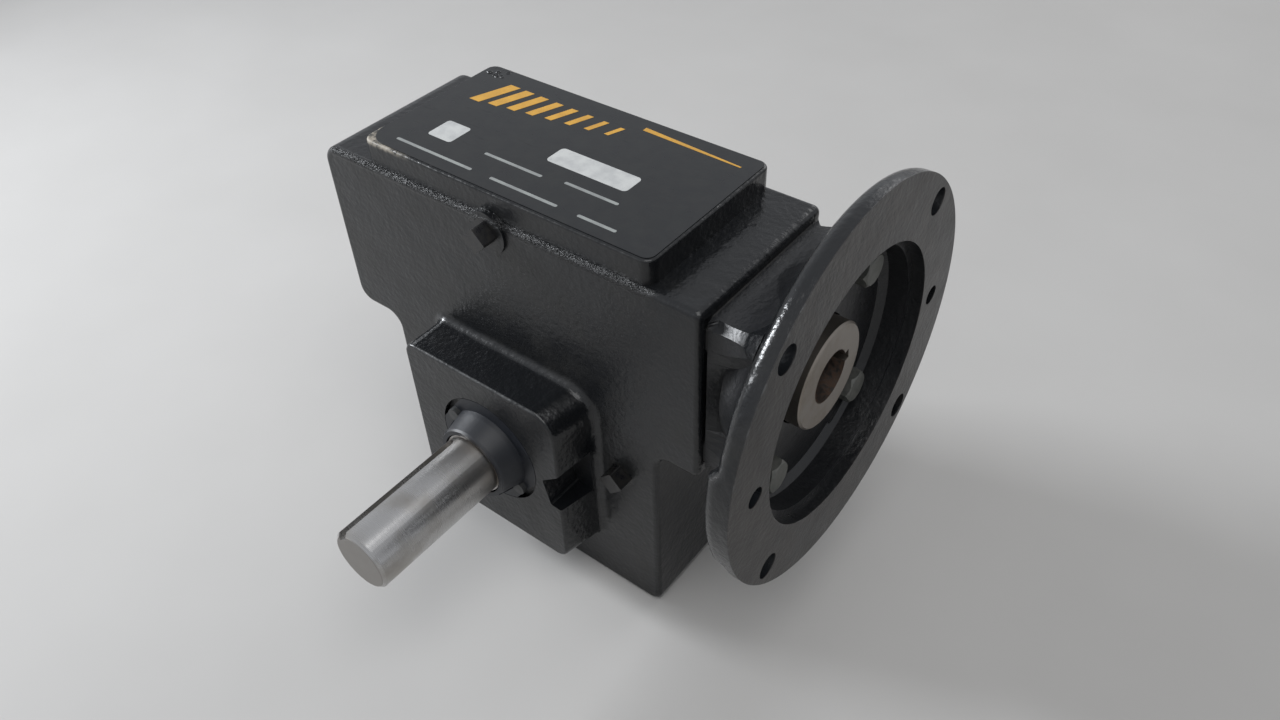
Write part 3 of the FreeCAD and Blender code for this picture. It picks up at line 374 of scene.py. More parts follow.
# The worn paint and the painted glints on the ledge both turn grey here.
colour = housing_finish.blend(colour, PAINT_SCUFFED, worn_and_glints)
colour = housing_finish.blend(colour, BARE_FILLER, chipped)
roughness = roughness + 0.25 * worn_and_glints + 0.35 * chipped
housing_paint = housing_finish.shade(color=colour, roughness=roughness, normal=normal)

cover_finish, colour, roughness, normal, _ = cast_paint("cover_paint", COVER_SAND, 0.18)
cover_paint = cover_finish.shade(color=colour, roughness=roughness, normal=normal)
print("painted", housing_paint.name, "and", cover_paint.name)

# %% [markdown]
# ## The finish of the motor flange
#
# One casting carries three finishes: thick gloss paint on the neck and rim, a machined face that
# took only a thin brown-black coat, and a recess that is darker still. Three materials on chosen
# faces would meet in hard seams. In one material, which finish a point gets follows from its
# distance to the worm axis and to the flange's face, so they fade into each other.

# %% Flange finish
FACE_BROWN = (0.0200, 0.0172, 0.0155)
FACE_GREY = (0.0130, 0.0127, 0.0130)
RECESS_DARK = (0.0065, 0.0070, 0.0082)
FACE_RING_PITCH, FACE_RING_DEPTH = 0.55 * MILLIMETRE, 0.005 * MILLIMETRE
FACE_EDGE = 0.9 * MILLIMETRE
PILOT_EDGE = 0.8 * MILLIMETRE


def radius_about_worm(finish):
    return (finish.axis("Y") - worm_axis[1]).away(finish.axis("Z") - worm_axis[2])


flange_finish, colour, roughness, normal, _ = cast_paint("flange_paint", FLANGE_SAND, 0.09)
from_axis = radius_about_worm(flange_finish)
depth = flange_face_x - flange_finish.axis("X")
on_face = 1 - depth.step(0.1 * MILLIMETRE, 0.5 * MILLIMETRE)
inside = 1 - from_axis.step(pilot_radius - 0.2 * MILLIMETRE, pilot_radius + 0.4 * MILLIMETRE)
in_recess = inside * (1 - on_face)
rings = flange_finish.rings(from_axis, FACE_RING_PITCH)
smears = flange_finish.noise(16 * MILLIMETRE, 4.0, 0.6)
face_tone = flange_finish.blend(FACE_BROWN, FACE_GREY, smears.step(0.35, 0.7))
face_edge = from_axis.near(flange_radius, FACE_EDGE) + from_axis.near(pilot_radius, PILOT_EDGE)
nicked = face_edge * on_face * flange_finish.noise(4 * MILLIMETRE, 4.0, 0.7).step(0.50, 0.68)
colour = flange_finish.blend(colour, RECESS_DARK, in_recess)
colour = flange_finish.blend(colour, face_tone, on_face)
colour = flange_finish.blend(colour, PAINT_SCUFFED, nicked * 0.7)
roughness = roughness + on_face * 0.22 + in_recess * 0.18
normal = flange_finish.bump(rings * on_face, FACE_RING_DEPTH, normal)
flange_paint = flange_finish.shade(color=colour, roughness=roughness, normal=normal)
print("flange pilot radius", pilot_radius)

# %% [markdown]
# ## Ground steel
#
# The output shaft is centreless ground, so its fine scratches run round it. Anisotropic shading
# would streak the light but show no scratch. Stretching a noise thin along the shaft and long
# around it gives them. A film of oil has browned the steel in soft patches, mostly near the seal,
# and the end face is turned instead of ground.

# %% Steel
STEEL_BRIGHT = (0.46, 0.455, 0.45)
STEEL_OILED = (0.22, 0.19, 0.155)
STEEL_TAN = (0.27, 0.245, 0.22)
RUST = (0.085, 0.042, 0.022)
VARNISH_BROWN = (0.17, 0.135, 0.10)
TURNED_GREY = (0.30, 0.285, 0.27)
BORE_PAINTED_SHADE = (0.075, 0.07, 0.066)
RACE_BRIGHT = (0.55, 0.54, 0.53)
SCRATCH_DEPTH = 0.010 * MILLIMETRE
OIL_PATCH = 17 * MILLIMETRE
SPECK_SIZE = 1.6 * MILLIMETRE
END_RING_PITCH, END_RING_DEPTH = 0.45 * MILLIMETRE, 0.004 * MILLIMETRE
VARNISH_LENGTH = 22 * MILLIMETRE


def steel(name, lay, bright=STEEL_BRIGHT, film=0.5, base_roughness=0.20):
    """lay stretches the scratches: large where they are thin. Gives the finish and its values."""
    finish = Finish(name)
    scratches = finish.noise(1.0, 3.0, 0.6, finish.stretched(lay))
    film_mask = finish.noise(OIL_PATCH, 4.0, 0.55).step(0.42, 0.72) * film
    specks = finish.noise(SPECK_SIZE, 2.0).step(0.68, 0.78) * 0.3
    colour = finish.blend(bright, STEEL_OILED, film_mask.most(specks))
    roughness = base_roughness + 0.12 * scratches + 0.12 * film_mask
    return finish, colour, roughness, finish.bump(scratches, SCRATCH_DEPTH)


print("scratches", SCRATCH_DEPTH, "m deep")

# %% Output shaft
shaft_finish, colour, roughness, normal = steel("shaft_steel", (60.0, 3800.0, 60.0))
along = shaft_finish.axis("Y")
from_centre = (shaft_finish.axis("X") - output_axis[0]).away(shaft_finish.axis("Z") - output_axis[2])
seal_line = boss_low.y - 8 * MILLIMETRE
blots = shaft_finish.noise(9 * MILLIMETRE, 4.0).step(0.25, 0.65)
varnish = along.step(seal_line - VARNISH_LENGTH, seal_line) * blots
on_end = 1 - along.step(shaft_low[1] + 0.1 * MILLIMETRE, shaft_low[1] + 0.4 * MILLIMETRE)
tool_rings = shaft_finish.rings(from_centre, END_RING_PITCH)
colour = shaft_finish.blend(colour, VARNISH_BROWN, varnish * 0.55)
colour = shaft_finish.blend(colour, TURNED_GREY, on_end)
roughness = roughness + 0.12 * varnish + 0.18 * on_end
normal = shaft_finish.bump(tool_rings * on_end, END_RING_DEPTH, normal)
shaft_steel = shaft_finish.shade(color=colour, roughness=roughness, metallic=1.0, normal=normal)
print("shaft end at", round(shaft_low[1], 4), "seal line at", round(seal_line, 4))

# %% Hollow worm shaft and races
quill_finish, colour, roughness, normal = steel("quill_steel", (3000.0, 90.0, 90.0), STEEL_TAN, 0.7, 0.34)
quill_radius = radius_about_worm(quill_finish)
in_bore = 1 - quill_radius.step(quill_bore_radius, quill_bore_radius + 0.3 * MILLIMETRE)
rust = in_bore * quill_finish.noise(2.2 * MILLIMETRE, 5.0, 0.7).step(0.35, 0.6)
# Painted shade: the steel inside the bore is darkened, and the rust spots there are real.
colour = quill_finish.blend(colour, BORE_PAINTED_SHADE, in_bore * 0.8)
colour = quill_finish.blend(colour, RUST, rust * 0.8)
quill_steel = quill_finish.shade(color=colour, roughness=roughness + 0.2 * rust, metallic=1 - 0.7 * rust,
                                 normal=normal)

race_finish, colour, roughness, normal = steel("race_steel", (900.0, 900.0, 900.0), RACE_BRIGHT, 0.1, 0.16)
race_steel = race_finish.shade(color=colour, roughness=roughness, metallic=1.0, normal=normal)
print("steels", [made.name for made in (shaft_steel, quill_steel, race_steel)])

# %% [markdown]
# ## Fasteners, bronze, iron, rubber and paper
#
# The cap screws have a grey phosphate coat. Inside the case, the gear rim is cast bronze, its hub
# is plain grey iron, and the cages are stamped brass. Seals and gaskets stay soft and dull. Each
# could have a tree of its own, but all are mottled pieces that fill little of the view. So one
# helper makes them all, from two colours and the size of the mottling.

# %% Small finishes
GRAIN_SIZE, GRAIN_DEPTH = 0.35 * MILLIMETRE, 0.012 * MILLIMETRE


def mottled(name, colour_a, colour_b, patch_mm, low_roughness, metallic):
    finish = Finish(name)
    mottling = finish.noise(patch_mm * MILLIMETRE, 5.0, 0.6)
    grain = finish.noise(GRAIN_SIZE, 2.0)
    return finish.shade(
        color=finish.blend(colour_a, colour_b, mottling.step(0.3, 0.7)),
        roughness=low_roughness + 0.2 * mottling, metallic=metallic,
        normal=finish.bump(grain, GRAIN_DEPTH))


# Two colours, the mottling's size in millimetres, the least roughness and how metallic it is.
small_recipes = {
    "screw_coat": ((0.105, 0.110, 0.100), (0.16, 0.16, 0.148), 3, 0.40, 0.5),
    "plug_black": ((0.008, 0.008, 0.010), (0.022, 0.021, 0.019), 3, 0.20, 0.0),
    "guard_black": ((0.005, 0.0065, 0.010), (0.010, 0.012, 0.017), 12, 0.36, 0.0),
    "guard_screw_grey": ((0.06, 0.062, 0.064), (0.035, 0.036, 0.036), 3, 0.34, 0.3),
    "gear_bronze": ((0.60, 0.37, 0.15), (0.48, 0.28, 0.11), 8, 0.26, 1.0),
    "hub_iron": ((0.10, 0.10, 0.10), (0.16, 0.155, 0.15), 5, 0.5, 0.8),
    "cage_brass": ((0.62, 0.44, 0.18), (0.5, 0.35, 0.14), 6, 0.24, 1.0),
    "seal_rubber": ((0.018, 0.018, 0.018), (0.03, 0.03, 0.03), 4, 0.6, 0.0),
    "gasket_paper": ((0.010, 0.010, 0.011), (0.020, 0.019, 0.018), 4, 0.6, 0.0),
}
small = {name: mottled(name, *recipe) for name, recipe in small_recipes.items()}
print("small finishes", list(small))

# %% [markdown]
# ## Dressing the nodes
#
# The castings, the plugs and the rear cover's screws are black, and the other screws, the shafts
# and the bearings show metal. Faces could be given slots of their own, but the masks already tell
# bare places from painted ones. So each node keeps its own mesh and gets one material. One table
# names the finish of most nodes. The many bearing pieces follow a rule instead, which keeps the
# table short: a cage is brass, and every race and set of balls is bright steel.

# %% Assign finishes
named_finishes = {
    "housing": housing_paint, "rear_cover": cover_paint, "motor_adapter": flange_paint,
    "worm_shaft": quill_steel, "output_shaft": shaft_steel, "gear_key": race_steel, "gear_spacer": race_steel,
    "worm_end_plug": small["plug_black"], "fill_plug": small["plug_black"],
    "level_plug": small["plug_black"], "rear_cover_screws": small["plug_black"],
    "adapter_screws": small["screw_coat"], "seal_guard": small["guard_black"],
    "seal_guard_screws": small["guard_screw_grey"],
    "gear_rim": small["gear_bronze"], "gear_hub": small["hub_iron"],
    "input_seal": small["seal_rubber"], "output_seal": small["seal_rubber"],
    "adapter_gasket": small["gasket_paper"], "rear_cover_gasket": small["gasket_paper"],
}


def finish_for(name):
    if name in named_finishes:
        return named_finishes[name]
    return small["cage_brass"] if name.endswith("_cage") else race_steel


for name, piece in frame["nodes"].items():
    piece.data.materials.clear()
    piece.data.materials.append(finish_for(name))
print("dressed", len(frame["nodes"]), "nodes")

# %% [markdown]
# ## The motor flange's thin rim
#
# The frame's flange is a thick disc, and the real casting has a thin rim with a thicker lug beside
# each of its two side holes. It could be modelled again from nothing, but then its holes and bores
# might not fit the screws. So it is made from a copy of the frame's own mesh: its doubles are
# merged, and every point behind the face slides towards it, fully at the rim and not at all inside
# the pilot's radius. At the block the hollow front and back of the neck are filled out flat. The
# copy then stands for the node.

# %% Thin rim
RIM_THICKNESS = 8.7 * MILLIMETRE
LUG_EXTRA = 3.0 * MILLIMETRE
LUG_MIDDLE = math.radians(4.0)
LUG_HALF = math.radians(16.0)
FRAME_RIM = 16.0 * MILLIMETRE
SLIDE_START = pilot_radius + 2 * MILLIMETRE
SLIDE_FULL = flange_radius - 6 * MILLIMETRE
FACE_LAYER = 6 * MILLIMETRE
MOUTH_DEPTH = 0.3 * MILLIMETRE
SCOOP_DEPTH = 5.8 * MILLIMETRE
MERGE_REACH = 0.002 * MILLIMETRE
SHARP_ANGLE = math.radians(24)


def smooth(value, start, end):
    """0 before start, 1 past end, and smooth between."""
    share = min(1.0, max(0.0, (value - start) / (end - start)))
    return share * share * (3 - 2 * share)


def in_lug(point):
    """True beside either side hole, where the rim stays thicker."""
    angle = math.atan2(point.z - worm_axis[2], abs(point.y - worm_axis[1]))
    return abs(angle + LUG_MIDDLE) < LUG_HALF


def reshape(points):
    """Slides the rim's back towards the face and fills out the neck's mouth."""
    mouth_x = flange_low[0] + MOUTH_DEPTH
    neck_half = max(point.y for point in points if point.x < mouth_x)
    for point in points:
        radius = math.hypot(point.y - worm_axis[1], point.z - worm_axis[2])
        if point.x < mouth_x and neck_half - SCOOP_DEPTH < abs(point.y):
            point.y = math.copysign(neck_half, point.y)
        elif point.x < flange_face_x - FACE_LAYER:
            slide = FRAME_RIM - RIM_THICKNESS - (LUG_EXTRA if in_lug(point) else 0.0)
            point.x += slide * smooth(radius, SLIDE_START, SLIDE_FULL)


def thin_rim():
    shape = bmesh.new()
    shape.from_mesh(frame["nodes"]["motor_adapter"].data)
    bmesh.ops.remove_doubles(shape, verts=shape.verts, dist=MERGE_REACH)
    reshape([vertex.co for vertex in shape.verts])
    mesh = bpy.data.meshes.new("flange_casting")
    shape.to_mesh(mesh)
    shape.free()
    if "custom_normal" in mesh.attributes:
        mesh.attributes.remove(mesh.attributes["custom_normal"])
    for face in mesh.polygons:
        face.use_smooth = True
    mesh.set_sharp_from_angle(angle=SHARP_ANGLE)
    mesh.materials.clear()
    mesh.materials.append(flange_paint)
    casting = bpy.data.objects.new("flange_casting", mesh)
    bpy.context.scene.collection.objects.link(casting)
    return casting


flange_casting = thin_rim()
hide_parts("motor_adapter")
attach(flange_casting, "gearcase")
print("thin rim has", len(flange_casting.data.polygons), "faces")

# %% [markdown]
# ## Recipes: node trees that make what repeats
#
# Sand crumbs, casting lumps and a row of printed bars are each one small shape repeated. A loop
# could copy them one by one, but Geometry Nodes scatters thousands at once. Recipe wraps such a
# tree: it has named inputs, one method that adds a node, and a method that runs the tree on a
# base mesh and hands back a plain mesh with no modifier left on it.

# %% Recipe
class Recipe:
    """A geometry node tree with named inputs."""

    def __init__(self, name):
        self.tree = bpy.data.node_groups.new(name, "GeometryNodeTree")
        self.tree.interface.new_socket("Geometry", in_out="INPUT", socket_type="NodeSocketGeometry")
        self.tree.interface.new_socket("Geometry", in_out="OUTPUT", socket_type="NodeSocketGeometry")
        self.entry = self.tree.nodes.new("NodeGroupInput")
        self.exit = self.tree.nodes.new("NodeGroupOutput")

    def takes(self, name, kind, value):
        socket = self.tree.interface.new_socket(name, in_out="INPUT", socket_type="NodeSocket" + kind)
        socket.default_value = value
        return self.entry.outputs[name]

    def node(self, kind, settings=None, sockets=None):
        node = self.tree.nodes.new(kind)
        for key, value in (settings or {}).items():
            setattr(node, key, value)
        for key, value in (sockets or {}).items():
            if isinstance(value, bpy.types.NodeSocket):
                self.tree.links.new(value, node.inputs[key])
            else:
                node.inputs[key].default_value = value
        return node.outputs

    def ends_with(self, geometry, material):
        real = self.node("GeometryNodeRealizeInstances", {}, {"Geometry": geometry})
        dressed = self.node("GeometryNodeSetMaterial", {}, {
            "Geometry": real["Geometry"], "Material": material})
        self.tree.links.new(dressed["Geometry"], self.exit.inputs["Geometry"])

    def grow(self, name, base_mesh, values):
        """Runs the tree on base_mesh; values are set by each socket's identifier."""
        base = bpy.data.objects.new(name + "_base", base_mesh)
        bpy.context.scene.collection.objects.link(base)
        modifier = base.modifiers.new("recipe", "NODES")
        modifier.node_group = self.tree
        for item in self.tree.interface.items_tree:
            if item.in_out == "INPUT" and item.name in values:
                modifier[item.identifier] = values[item.name]
        mesh = bpy.data.meshes.new_from_object(base.evaluated_get(bpy.context.evaluated_depsgraph_get()))
        bpy.data.objects.remove(base)
        piece = bpy.data.objects.new(name, mesh)
        bpy.context.scene.collection.objects.link(piece)
        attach(piece, "gearcase")
        print(name, "has", len(mesh.polygons), "faces")


print("recipe helper ready")

# %% [markdown]
# ## Sand crumbs and casting lumps
#
# Where the mould's sand broke away, small beads of iron stay on the casting and are painted over.
# Bump alone would leave their outline flat, so they are real meshes. The base mesh is a patch
# that drapes over the frame: rays dropped on the gear case give its heights, so the beads sit on
# the surface whatever its shape.

# %% Draped patches
DROP_HEIGHT = 10 * MILLIMETRE

case_mesh = frame["nodes"]["housing"].data
case_tree = BVHTree.FromPolygons([vertex.co for vertex in case_mesh.vertices],
                                 [tuple(face.vertices) for face in case_mesh.polygons])


def draped_patch(name, low, high, counts):
    """A grid between two (x, y) corners, dropped on the gear case."""
    across, along = counts
    points = []
    for row in range(along):
        for column in range(across):
            x = low[0] + (high[0] - low[0]) * column / (across - 1)
            y = low[1] + (high[1] - low[1]) * row / (along - 1)
            hit = case_tree.ray_cast(Vector((x, y, pad_top_z + DROP_HEIGHT)), Vector((0, 0, -1)))[0]
            points.append(hit if hit else Vector((x, y, block_high.z)))
    faces = [(row * across + column, row * across + column + 1,
              (row + 1) * across + column + 1, (row + 1) * across + column)
             for row in range(along - 1) for column in range(across - 1)]
    mesh = bpy.data.meshes.new(name)
    mesh.from_pydata(points, [], faces)
    return mesh


print("gear case has", len(case_mesh.polygons), "faces to drape on")

# %% Beads of iron
LEDGE_GRID = (140, 4)
CORNER_GRID = (24, 14)
LEAST_SQUASH = (0.4, 0.4, 0.25)
MOST_SQUASH = (1.3, 1.1, 0.75)

bead_recipe = Recipe("painted_beads")
density = bead_recipe.takes("Density", "Float", 1.0e5)
bead_size = bead_recipe.takes("Bead size", "Float", 0.5 * MILLIMETRE)
seed = bead_recipe.takes("Seed", "Int", 3)
scattered = bead_recipe.node("GeometryNodeDistributePointsOnFaces", {}, {
    "Mesh": bead_recipe.entry.outputs["Geometry"], "Density": density, "Seed": seed})
bead = bead_recipe.node("GeometryNodeMeshIcoSphere", {}, {"Radius": bead_size, "Subdivisions": 2})
squash = bead_recipe.node("FunctionNodeRandomValue", {"data_type": "FLOAT_VECTOR"}, {
    0: LEAST_SQUASH, 1: MOST_SQUASH, "Seed": seed})
beads = bead_recipe.node("GeometryNodeInstanceOnPoints", {}, {
    "Points": scattered["Points"], "Instance": bead["Mesh"], "Rotation": scattered["Rotation"],
    "Scale": squash["Value"]})
rounded = bead_recipe.node("GeometryNodeSetShadeSmooth", {}, {"Geometry": beads["Instances"]})
bead_recipe.ends_with(rounded["Geometry"], housing_paint)

ledge_patch = draped_patch("ledge_patch", (cad_low[0] + 5 * MILLIMETRE, block_low.y + 0.15 * MILLIMETRE),
                           (pad_high.x, pad_low.y - 0.4 * MILLIMETRE), LEDGE_GRID)
bead_recipe.grow("ledge_crumbs", ledge_patch, {"Density": 1.1e6, "Bead size": 0.42 * MILLIMETRE, "Seed": 3})
corner_patch = draped_patch("corner_patch", (pad_low.x - 3 * MILLIMETRE, pad_high.y - 9 * MILLIMETRE),
                            (pad_low.x + 13 * MILLIMETRE, pad_high.y + 0.3 * MILLIMETRE), CORNER_GRID)
bead_recipe.grow("corner_lumps", corner_patch, {"Density": 1.5e5, "Bead size": 1.5 * MILLIMETRE, "Seed": 8})

# %% [markdown]
# ## The label on the pad
#
# A printed film covers the pad. Its black ground is smoother than the casting, and its corners are
# rounded, the front left one by more, where it has worn. Its print is plain: slanted amber bars
# that shrink along the film, a thin amber rule, blank pale panels and thin grey lines. An image
# could carry the print, but here each print is a very thin plate, so its edges stay sharp at any
# distance.

# %% Film and plates
FILM_INSET = 2.6 * MILLIMETRE
FILM_THICKNESS = 0.30 * MILLIMETRE
FILM_SINK = 0.05 * MILLIMETRE
FILM_CORNER = 4 * MILLIMETRE
WORN_CORNER = 10 * MILLIMETRE
PRINT_THICKNESS = 0.06 * MILLIMETRE
PRINT_SINK = 0.02 * MILLIMETRE
film_top = pad_top_z + FILM_THICKNESS


def plate_mesh(name, outlines, low, high, material):
    """Thin plates with the given (x, y) outlines, between two heights."""
    shape = bmesh.new()
    for outline in outlines:
        face = shape.faces.new([shape.verts.new((x, y, low)) for x, y in outline])
        grown = bmesh.ops.extrude_face_region(shape, geom=[face])["geom"]
        lifted = [item for item in grown if isinstance(item, bmesh.types.BMVert)]
        bmesh.ops.translate(shape, vec=(0, 0, high - low), verts=lifted)
    bmesh.ops.recalc_face_normals(shape, faces=shape.faces)
    mesh = bpy.data.meshes.new(name)
    shape.to_mesh(mesh)
    shape.free()
    mesh.materials.append(material)
    return mesh


def rounded_rectangle(centre, size, radius, steps=6, worn_radius=None):
    """The outline of a plate; worn_radius, if given, is its front left corner's own radius."""
    points = []
    for turn, (side_x, side_y) in enumerate(((1, 1), (-1, 1), (-1, -1), (1, -1))):
        bend = worn_radius if worn_radius and side_x < 0 and side_y < 0 else radius
        middle = (centre[0] + side_x * (size[0] / 2 - bend), centre[1] + side_y * (size[1] / 2 - bend))
        for step in range(steps + 1):
            angle = math.radians(90 * (turn + step / steps))
            points.append((middle[0] + bend * math.cos(angle), middle[1] + bend * math.sin(angle)))
    return points


print("film top at", round(film_top, 5))

# %% Inks
DIMPLE_SIZE, DIMPLE_DEPTH = 1.8 * MILLIMETRE, 0.020 * MILLIMETRE
INK_PATCH = 7 * MILLIMETRE


def ink(name, first, second, gloss):
    """Printed colour, a little uneven and scuffed."""
    finish = Finish(name)
    uneven = finish.noise(INK_PATCH, 4.0, 0.6)
    scuffs = finish.noise(1.0, 3.0, 0.6, finish.stretched((70.0, 420.0, 70.0))).step(0.60, 0.72)
    dimple = finish.noise(DIMPLE_SIZE, 2.0)
    return finish.shade(color=finish.blend(first, second, uneven.step(0.35, 0.7)),
                        roughness=gloss + 0.10 * uneven + 0.18 * scuffs,
                        normal=finish.bump(dimple, DIMPLE_DEPTH))


film_black = ink("film_black", (0.0070, 0.0080, 0.0095), (0.0115, 0.0125, 0.0130), 0.24)
ink_amber = ink("ink_amber", (0.72, 0.39, 0.055), (0.60, 0.32, 0.05), 0.32)
ink_pale = ink("ink_pale", (0.62, 0.63, 0.62), (0.50, 0.51, 0.51), 0.34)
ink_grey = ink("ink_grey", (0.34, 0.36, 0.35), (0.26, 0.27, 0.27), 0.34)
print("inks", [made.name for made in (film_black, ink_amber, ink_pale, ink_grey)])

# %% Film
film_middle = ((pad_low.x + pad_high.x) / 2, (pad_low.y + pad_high.y) / 2)
film_size = (pad_high.x - pad_low.x - FILM_INSET, pad_high.y - pad_low.y - FILM_INSET)


def add_plate(name, outlines, low, high, material):
    piece = bpy.data.objects.new(name, plate_mesh(name, outlines, low, high, material))
    bpy.context.scene.collection.objects.link(piece)
    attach(piece, "gearcase")


add_plate("label_film", [rounded_rectangle(film_middle, film_size, FILM_CORNER, 8, WORN_CORNER)],
          pad_top_z - FILM_SINK, film_top, film_black)
print("film", tuple(round(side, 4) for side in film_size))

# %% Printed bars
print_low, print_high = film_top - PRINT_SINK, film_top + PRINT_THICKNESS
BAR = (5.6 * MILLIMETRE, 19 * MILLIMETRE, 7 * MILLIMETRE)
BAR_COUNT = 8
BAR_STEP = (9.5 * MILLIMETRE, 1.4 * MILLIMETRE, 0.0)
BAR_SHRINK = 0.085


def bar_outline(size):
    """A slanted bar: its width, its length and how far its end leans."""
    width, length, lean = size
    return [(0, 0), (width, 0), (width + lean, length), (lean, length)]


bar_recipe = Recipe("row_of_bars")
count = bar_recipe.takes("Count", "Int", 8)
first = bar_recipe.takes("First", "Vector", (0.0, 0.0, 0.0))
spacing = bar_recipe.takes("Spacing", "Vector", (0.01, 0.0, 0.0))
shrink = bar_recipe.takes("Shrink", "Float", 0.1)
places = bar_recipe.node("GeometryNodeMeshLine", {"mode": "OFFSET"}, {
    "Count": count, "Start Location": first, "Offset": spacing})
order = bar_recipe.node("GeometryNodeInputIndex")
lost = bar_recipe.node("ShaderNodeMath", {"operation": "MULTIPLY"}, {0: order["Index"], 1: shrink})
kept = bar_recipe.node("ShaderNodeMath", {"operation": "SUBTRACT"}, {0: 1.0, 1: lost["Value"]})
size = bar_recipe.node("ShaderNodeCombineXYZ", {}, {"X": kept["Value"], "Y": kept["Value"], "Z": 1.0})
bars = bar_recipe.node("GeometryNodeInstanceOnPoints", {}, {
    "Points": places["Mesh"], "Instance": bar_recipe.entry.outputs["Geometry"], "Scale": size["Vector"]})
bar_recipe.ends_with(bars["Instances"], ink_amber)

bar_mesh = plate_mesh("bar", [bar_outline(BAR)], 0.0, print_high - print_low, ink_amber)
bar_recipe.grow("label_bars", bar_mesh, {
    "Count": BAR_COUNT, "First": (pad_low.x + 14 * MILLIMETRE, pad_high.y - 30 * MILLIMETRE, print_low),
    "Spacing": BAR_STEP, "Shrink": BAR_SHRINK})

# %% Rule, panels and lines
rule_start, rule_end = pad_low.x + 92 * MILLIMETRE, pad_high.x - 8 * MILLIMETRE
rule_y = pad_high.y - 9 * MILLIMETRE
rule = [(rule_start, rule_y), (rule_end, rule_y - 1.2 * MILLIMETRE),
        (rule_end, rule_y - 0.4 * MILLIMETRE), (rule_start, rule_y + 2.4 * MILLIMETRE)]
add_plate("label_rule", [rule], print_low, print_high, ink_amber)
add_plate("label_panels", [
    rounded_rectangle((film_middle[0] + 20 * MILLIMETRE, film_middle[1] - 4 * MILLIMETRE),
                      (40 * MILLIMETRE, 11 * MILLIMETRE), 2 * MILLIMETRE),
    rounded_rectangle((pad_low.x + 27 * MILLIMETRE, pad_low.y + 24 * MILLIMETRE),
                      (13 * MILLIMETRE, 13 * MILLIMETRE), 1.5 * MILLIMETRE)], print_low, print_high, ink_pale)

# Each grey line's middle, from the pad's front left corner, and its length, in millimetres.
lines = ((34.0, 8.0, 42.0), (82.0, 8.0, 34.0), (118.0, 8.0, 18.0), (104.0, 22.0, 26.0), (66.0, 20.0, 30.0))
LINE_WIDTH, LINE_CORNER = 1.5 * MILLIMETRE, 0.6 * MILLIMETRE
add_plate("label_lines", [
    rounded_rectangle((pad_low.x + start * MILLIMETRE, pad_low.y + rise * MILLIMETRE),
                      (length * MILLIMETRE, LINE_WIDTH), LINE_CORNER)
    for start, rise, length in lines], print_low, print_high, ink_grey)
print("label has", BAR_COUNT, "bars and", len(lines), "lines")

# %% [markdown]
# ## The studio
#
# A pale flat floor, a broad weak lamp overhead, a tall window of light on the left and a weak fill
# behind. Small bright lamps would put hard spots in the gloss. Paint this dark shows mostly what
# it reflects, so the lamps are large and the floor does much of the lighting. The sky is brighter
# where it is seen or mirrored than where it lights.

# %% Floor
FLOOR_REACH = 14.0
FLOOR_GREY = (0.55, 0.54, 0.525)
FLOOR_PALE = (0.62, 0.61, 0.595)


def pale_floor():
    finish = Finish("floor_pale")
    cloud = finish.noise(0.12, 4.0)
    material = finish.shade(color=finish.blend(FLOOR_GREY, FLOOR_PALE, cloud), roughness=0.85)
    mesh = bpy.data.meshes.new("floor")
    corners = [(side_x * FLOOR_REACH, side_y * FLOOR_REACH, 0)
               for side_x, side_y in ((-1, -1), (1, -1), (1, 1), (-1, 1))]
    mesh.from_pydata(corners, [], [(0, 1, 2, 3)])
    mesh.materials.append(material)
    floor = bpy.data.objects.new("floor", mesh)
    floor.location.z = housing_low[2]
    bpy.context.scene.collection.objects.link(floor)
    return floor


pale_floor()
print("floor at", round(housing_low[2], 4))

# %% World
LIGHTING_SKY = 0.25
SEEN_SKY = 0.62
SKY_TINT = (0.93, 0.955, 1.0, 1.0)

world = bpy.data.worlds.new("studio")
world.use_nodes = True
sky = world.node_tree


def sky_maths(operation, *values):
    node = sky.nodes.new("ShaderNodeMath")
    node.operation = operation
    for socket, value in zip(node.inputs, values):
        if isinstance(value, bpy.types.NodeSocket):
            sky.links.new(value, socket)
        else:
            socket.default_value = value
    return node.outputs[0]


rays = sky.nodes.new("ShaderNodeLightPath").outputs
seen = sky_maths("MAXIMUM", rays["Is Camera Ray"], rays["Is Glossy Ray"])
seen = sky_maths("MAXIMUM", seen, rays["Is Transmission Ray"])
strength = sky_maths("MULTIPLY_ADD", seen, SEEN_SKY - LIGHTING_SKY, LIGHTING_SKY)
background = sky.nodes["Background"]
background.inputs["Color"].default_value = SKY_TINT
sky.links.new(strength, background.inputs["Strength"])
bpy.context.scene.world = world
print("sky lights with", LIGHTING_SKY, "and is seen at", SEEN_SKY)

# %% Lamps
WHITE = (1.0, 1.0, 1.0)
WINDOW_TINT = (0.93, 0.96, 1.0)
ABOVE_PART = Vector((0.0, 0.0, 0.99))


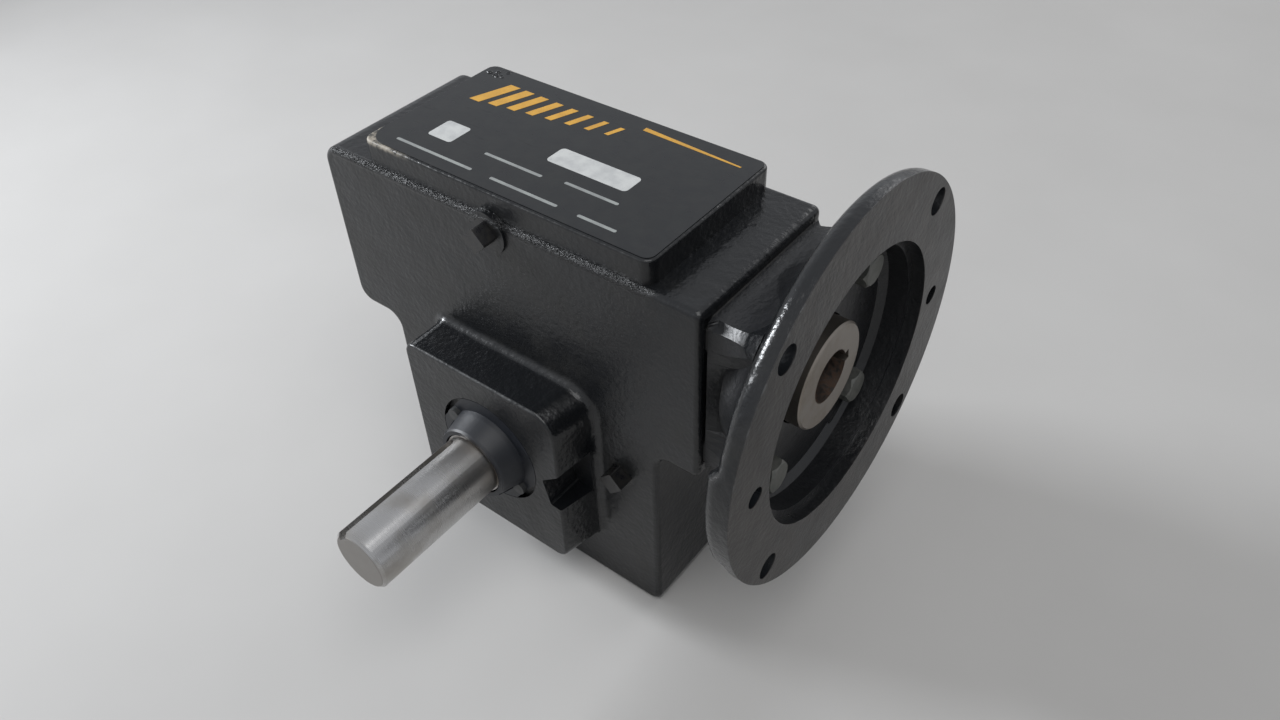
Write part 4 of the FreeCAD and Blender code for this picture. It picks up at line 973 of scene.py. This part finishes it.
def soft_lamp(name, location, target, size, watts, tint=WHITE):
    """A rectangle of light at location that faces target."""
    lamp = bpy.data.lights.new(name, "AREA")
    lamp.shape = "RECTANGLE"
    lamp.size, lamp.size_y = size
    lamp.energy = watts
    lamp.color = tint
    holder = bpy.data.objects.new(name, lamp)
    holder.location = location
    holder.rotation_euler = (Vector(target) - Vector(location)).to_track_quat("-Z", "Y").to_euler()
    bpy.context.scene.collection.objects.link(holder)


middle = (Vector(cad_low) + Vector(cad_high)) / 2
soft_lamp("ceiling", middle + Vector((0.45, -0.35, 1.35)), middle, (1.1, 1.1), 8.0)
# The window faces a point above the part, so that the floor below it isn't lit too brightly.
soft_lamp("window", middle + Vector((-1.15, -0.36, 0.55)), middle + ABOVE_PART,
          (0.26, 0.59), 24.0, WINDOW_TINT)
soft_lamp("back_fill", middle + Vector((0.1, 1.3, 0.7)), middle, (0.9, 0.6), 3.0)
print("lamps around", tuple(round(v, 3) for v in middle))

# %% [markdown]
# ## The camera
#
# The camera stands to the right of the shaft and looks down at the gearbox with a fairly wide
# lens. It could be aimed with a Track To constraint, but that leaves no say over its roll. So its
# heading, tilt and roll are three turns, multiplied in that order.

# %% Camera
CAMERA_PLACE = Vector((0.2466, -0.2616, 0.4111))
HEADING = math.radians(128.75)
TILT_DOWN = math.radians(42.55)
ROLL = math.radians(-2.08)
LENS_MM = 28.9
SENSOR_MM = 36.0

camera_data = bpy.data.cameras.new("camera")
camera_data.lens = LENS_MM
camera_data.sensor_width = SENSOR_MM
camera = bpy.data.objects.new("camera", camera_data)
heading_turn = Matrix.Rotation(HEADING - math.pi / 2, 4, "Z")
tilt_turn = Matrix.Rotation(math.pi / 2 - TILT_DOWN, 4, "X")
roll_turn = Matrix.Rotation(ROLL, 4, "Z")
camera.matrix_world = Matrix.Translation(CAMERA_PLACE) @ heading_turn @ tilt_turn @ roll_turn
bpy.context.scene.collection.objects.link(camera)
bpy.context.scene.camera = camera
bpy.context.scene.view_settings.view_transform = "Standard"
print("camera at", tuple(CAMERA_PLACE))
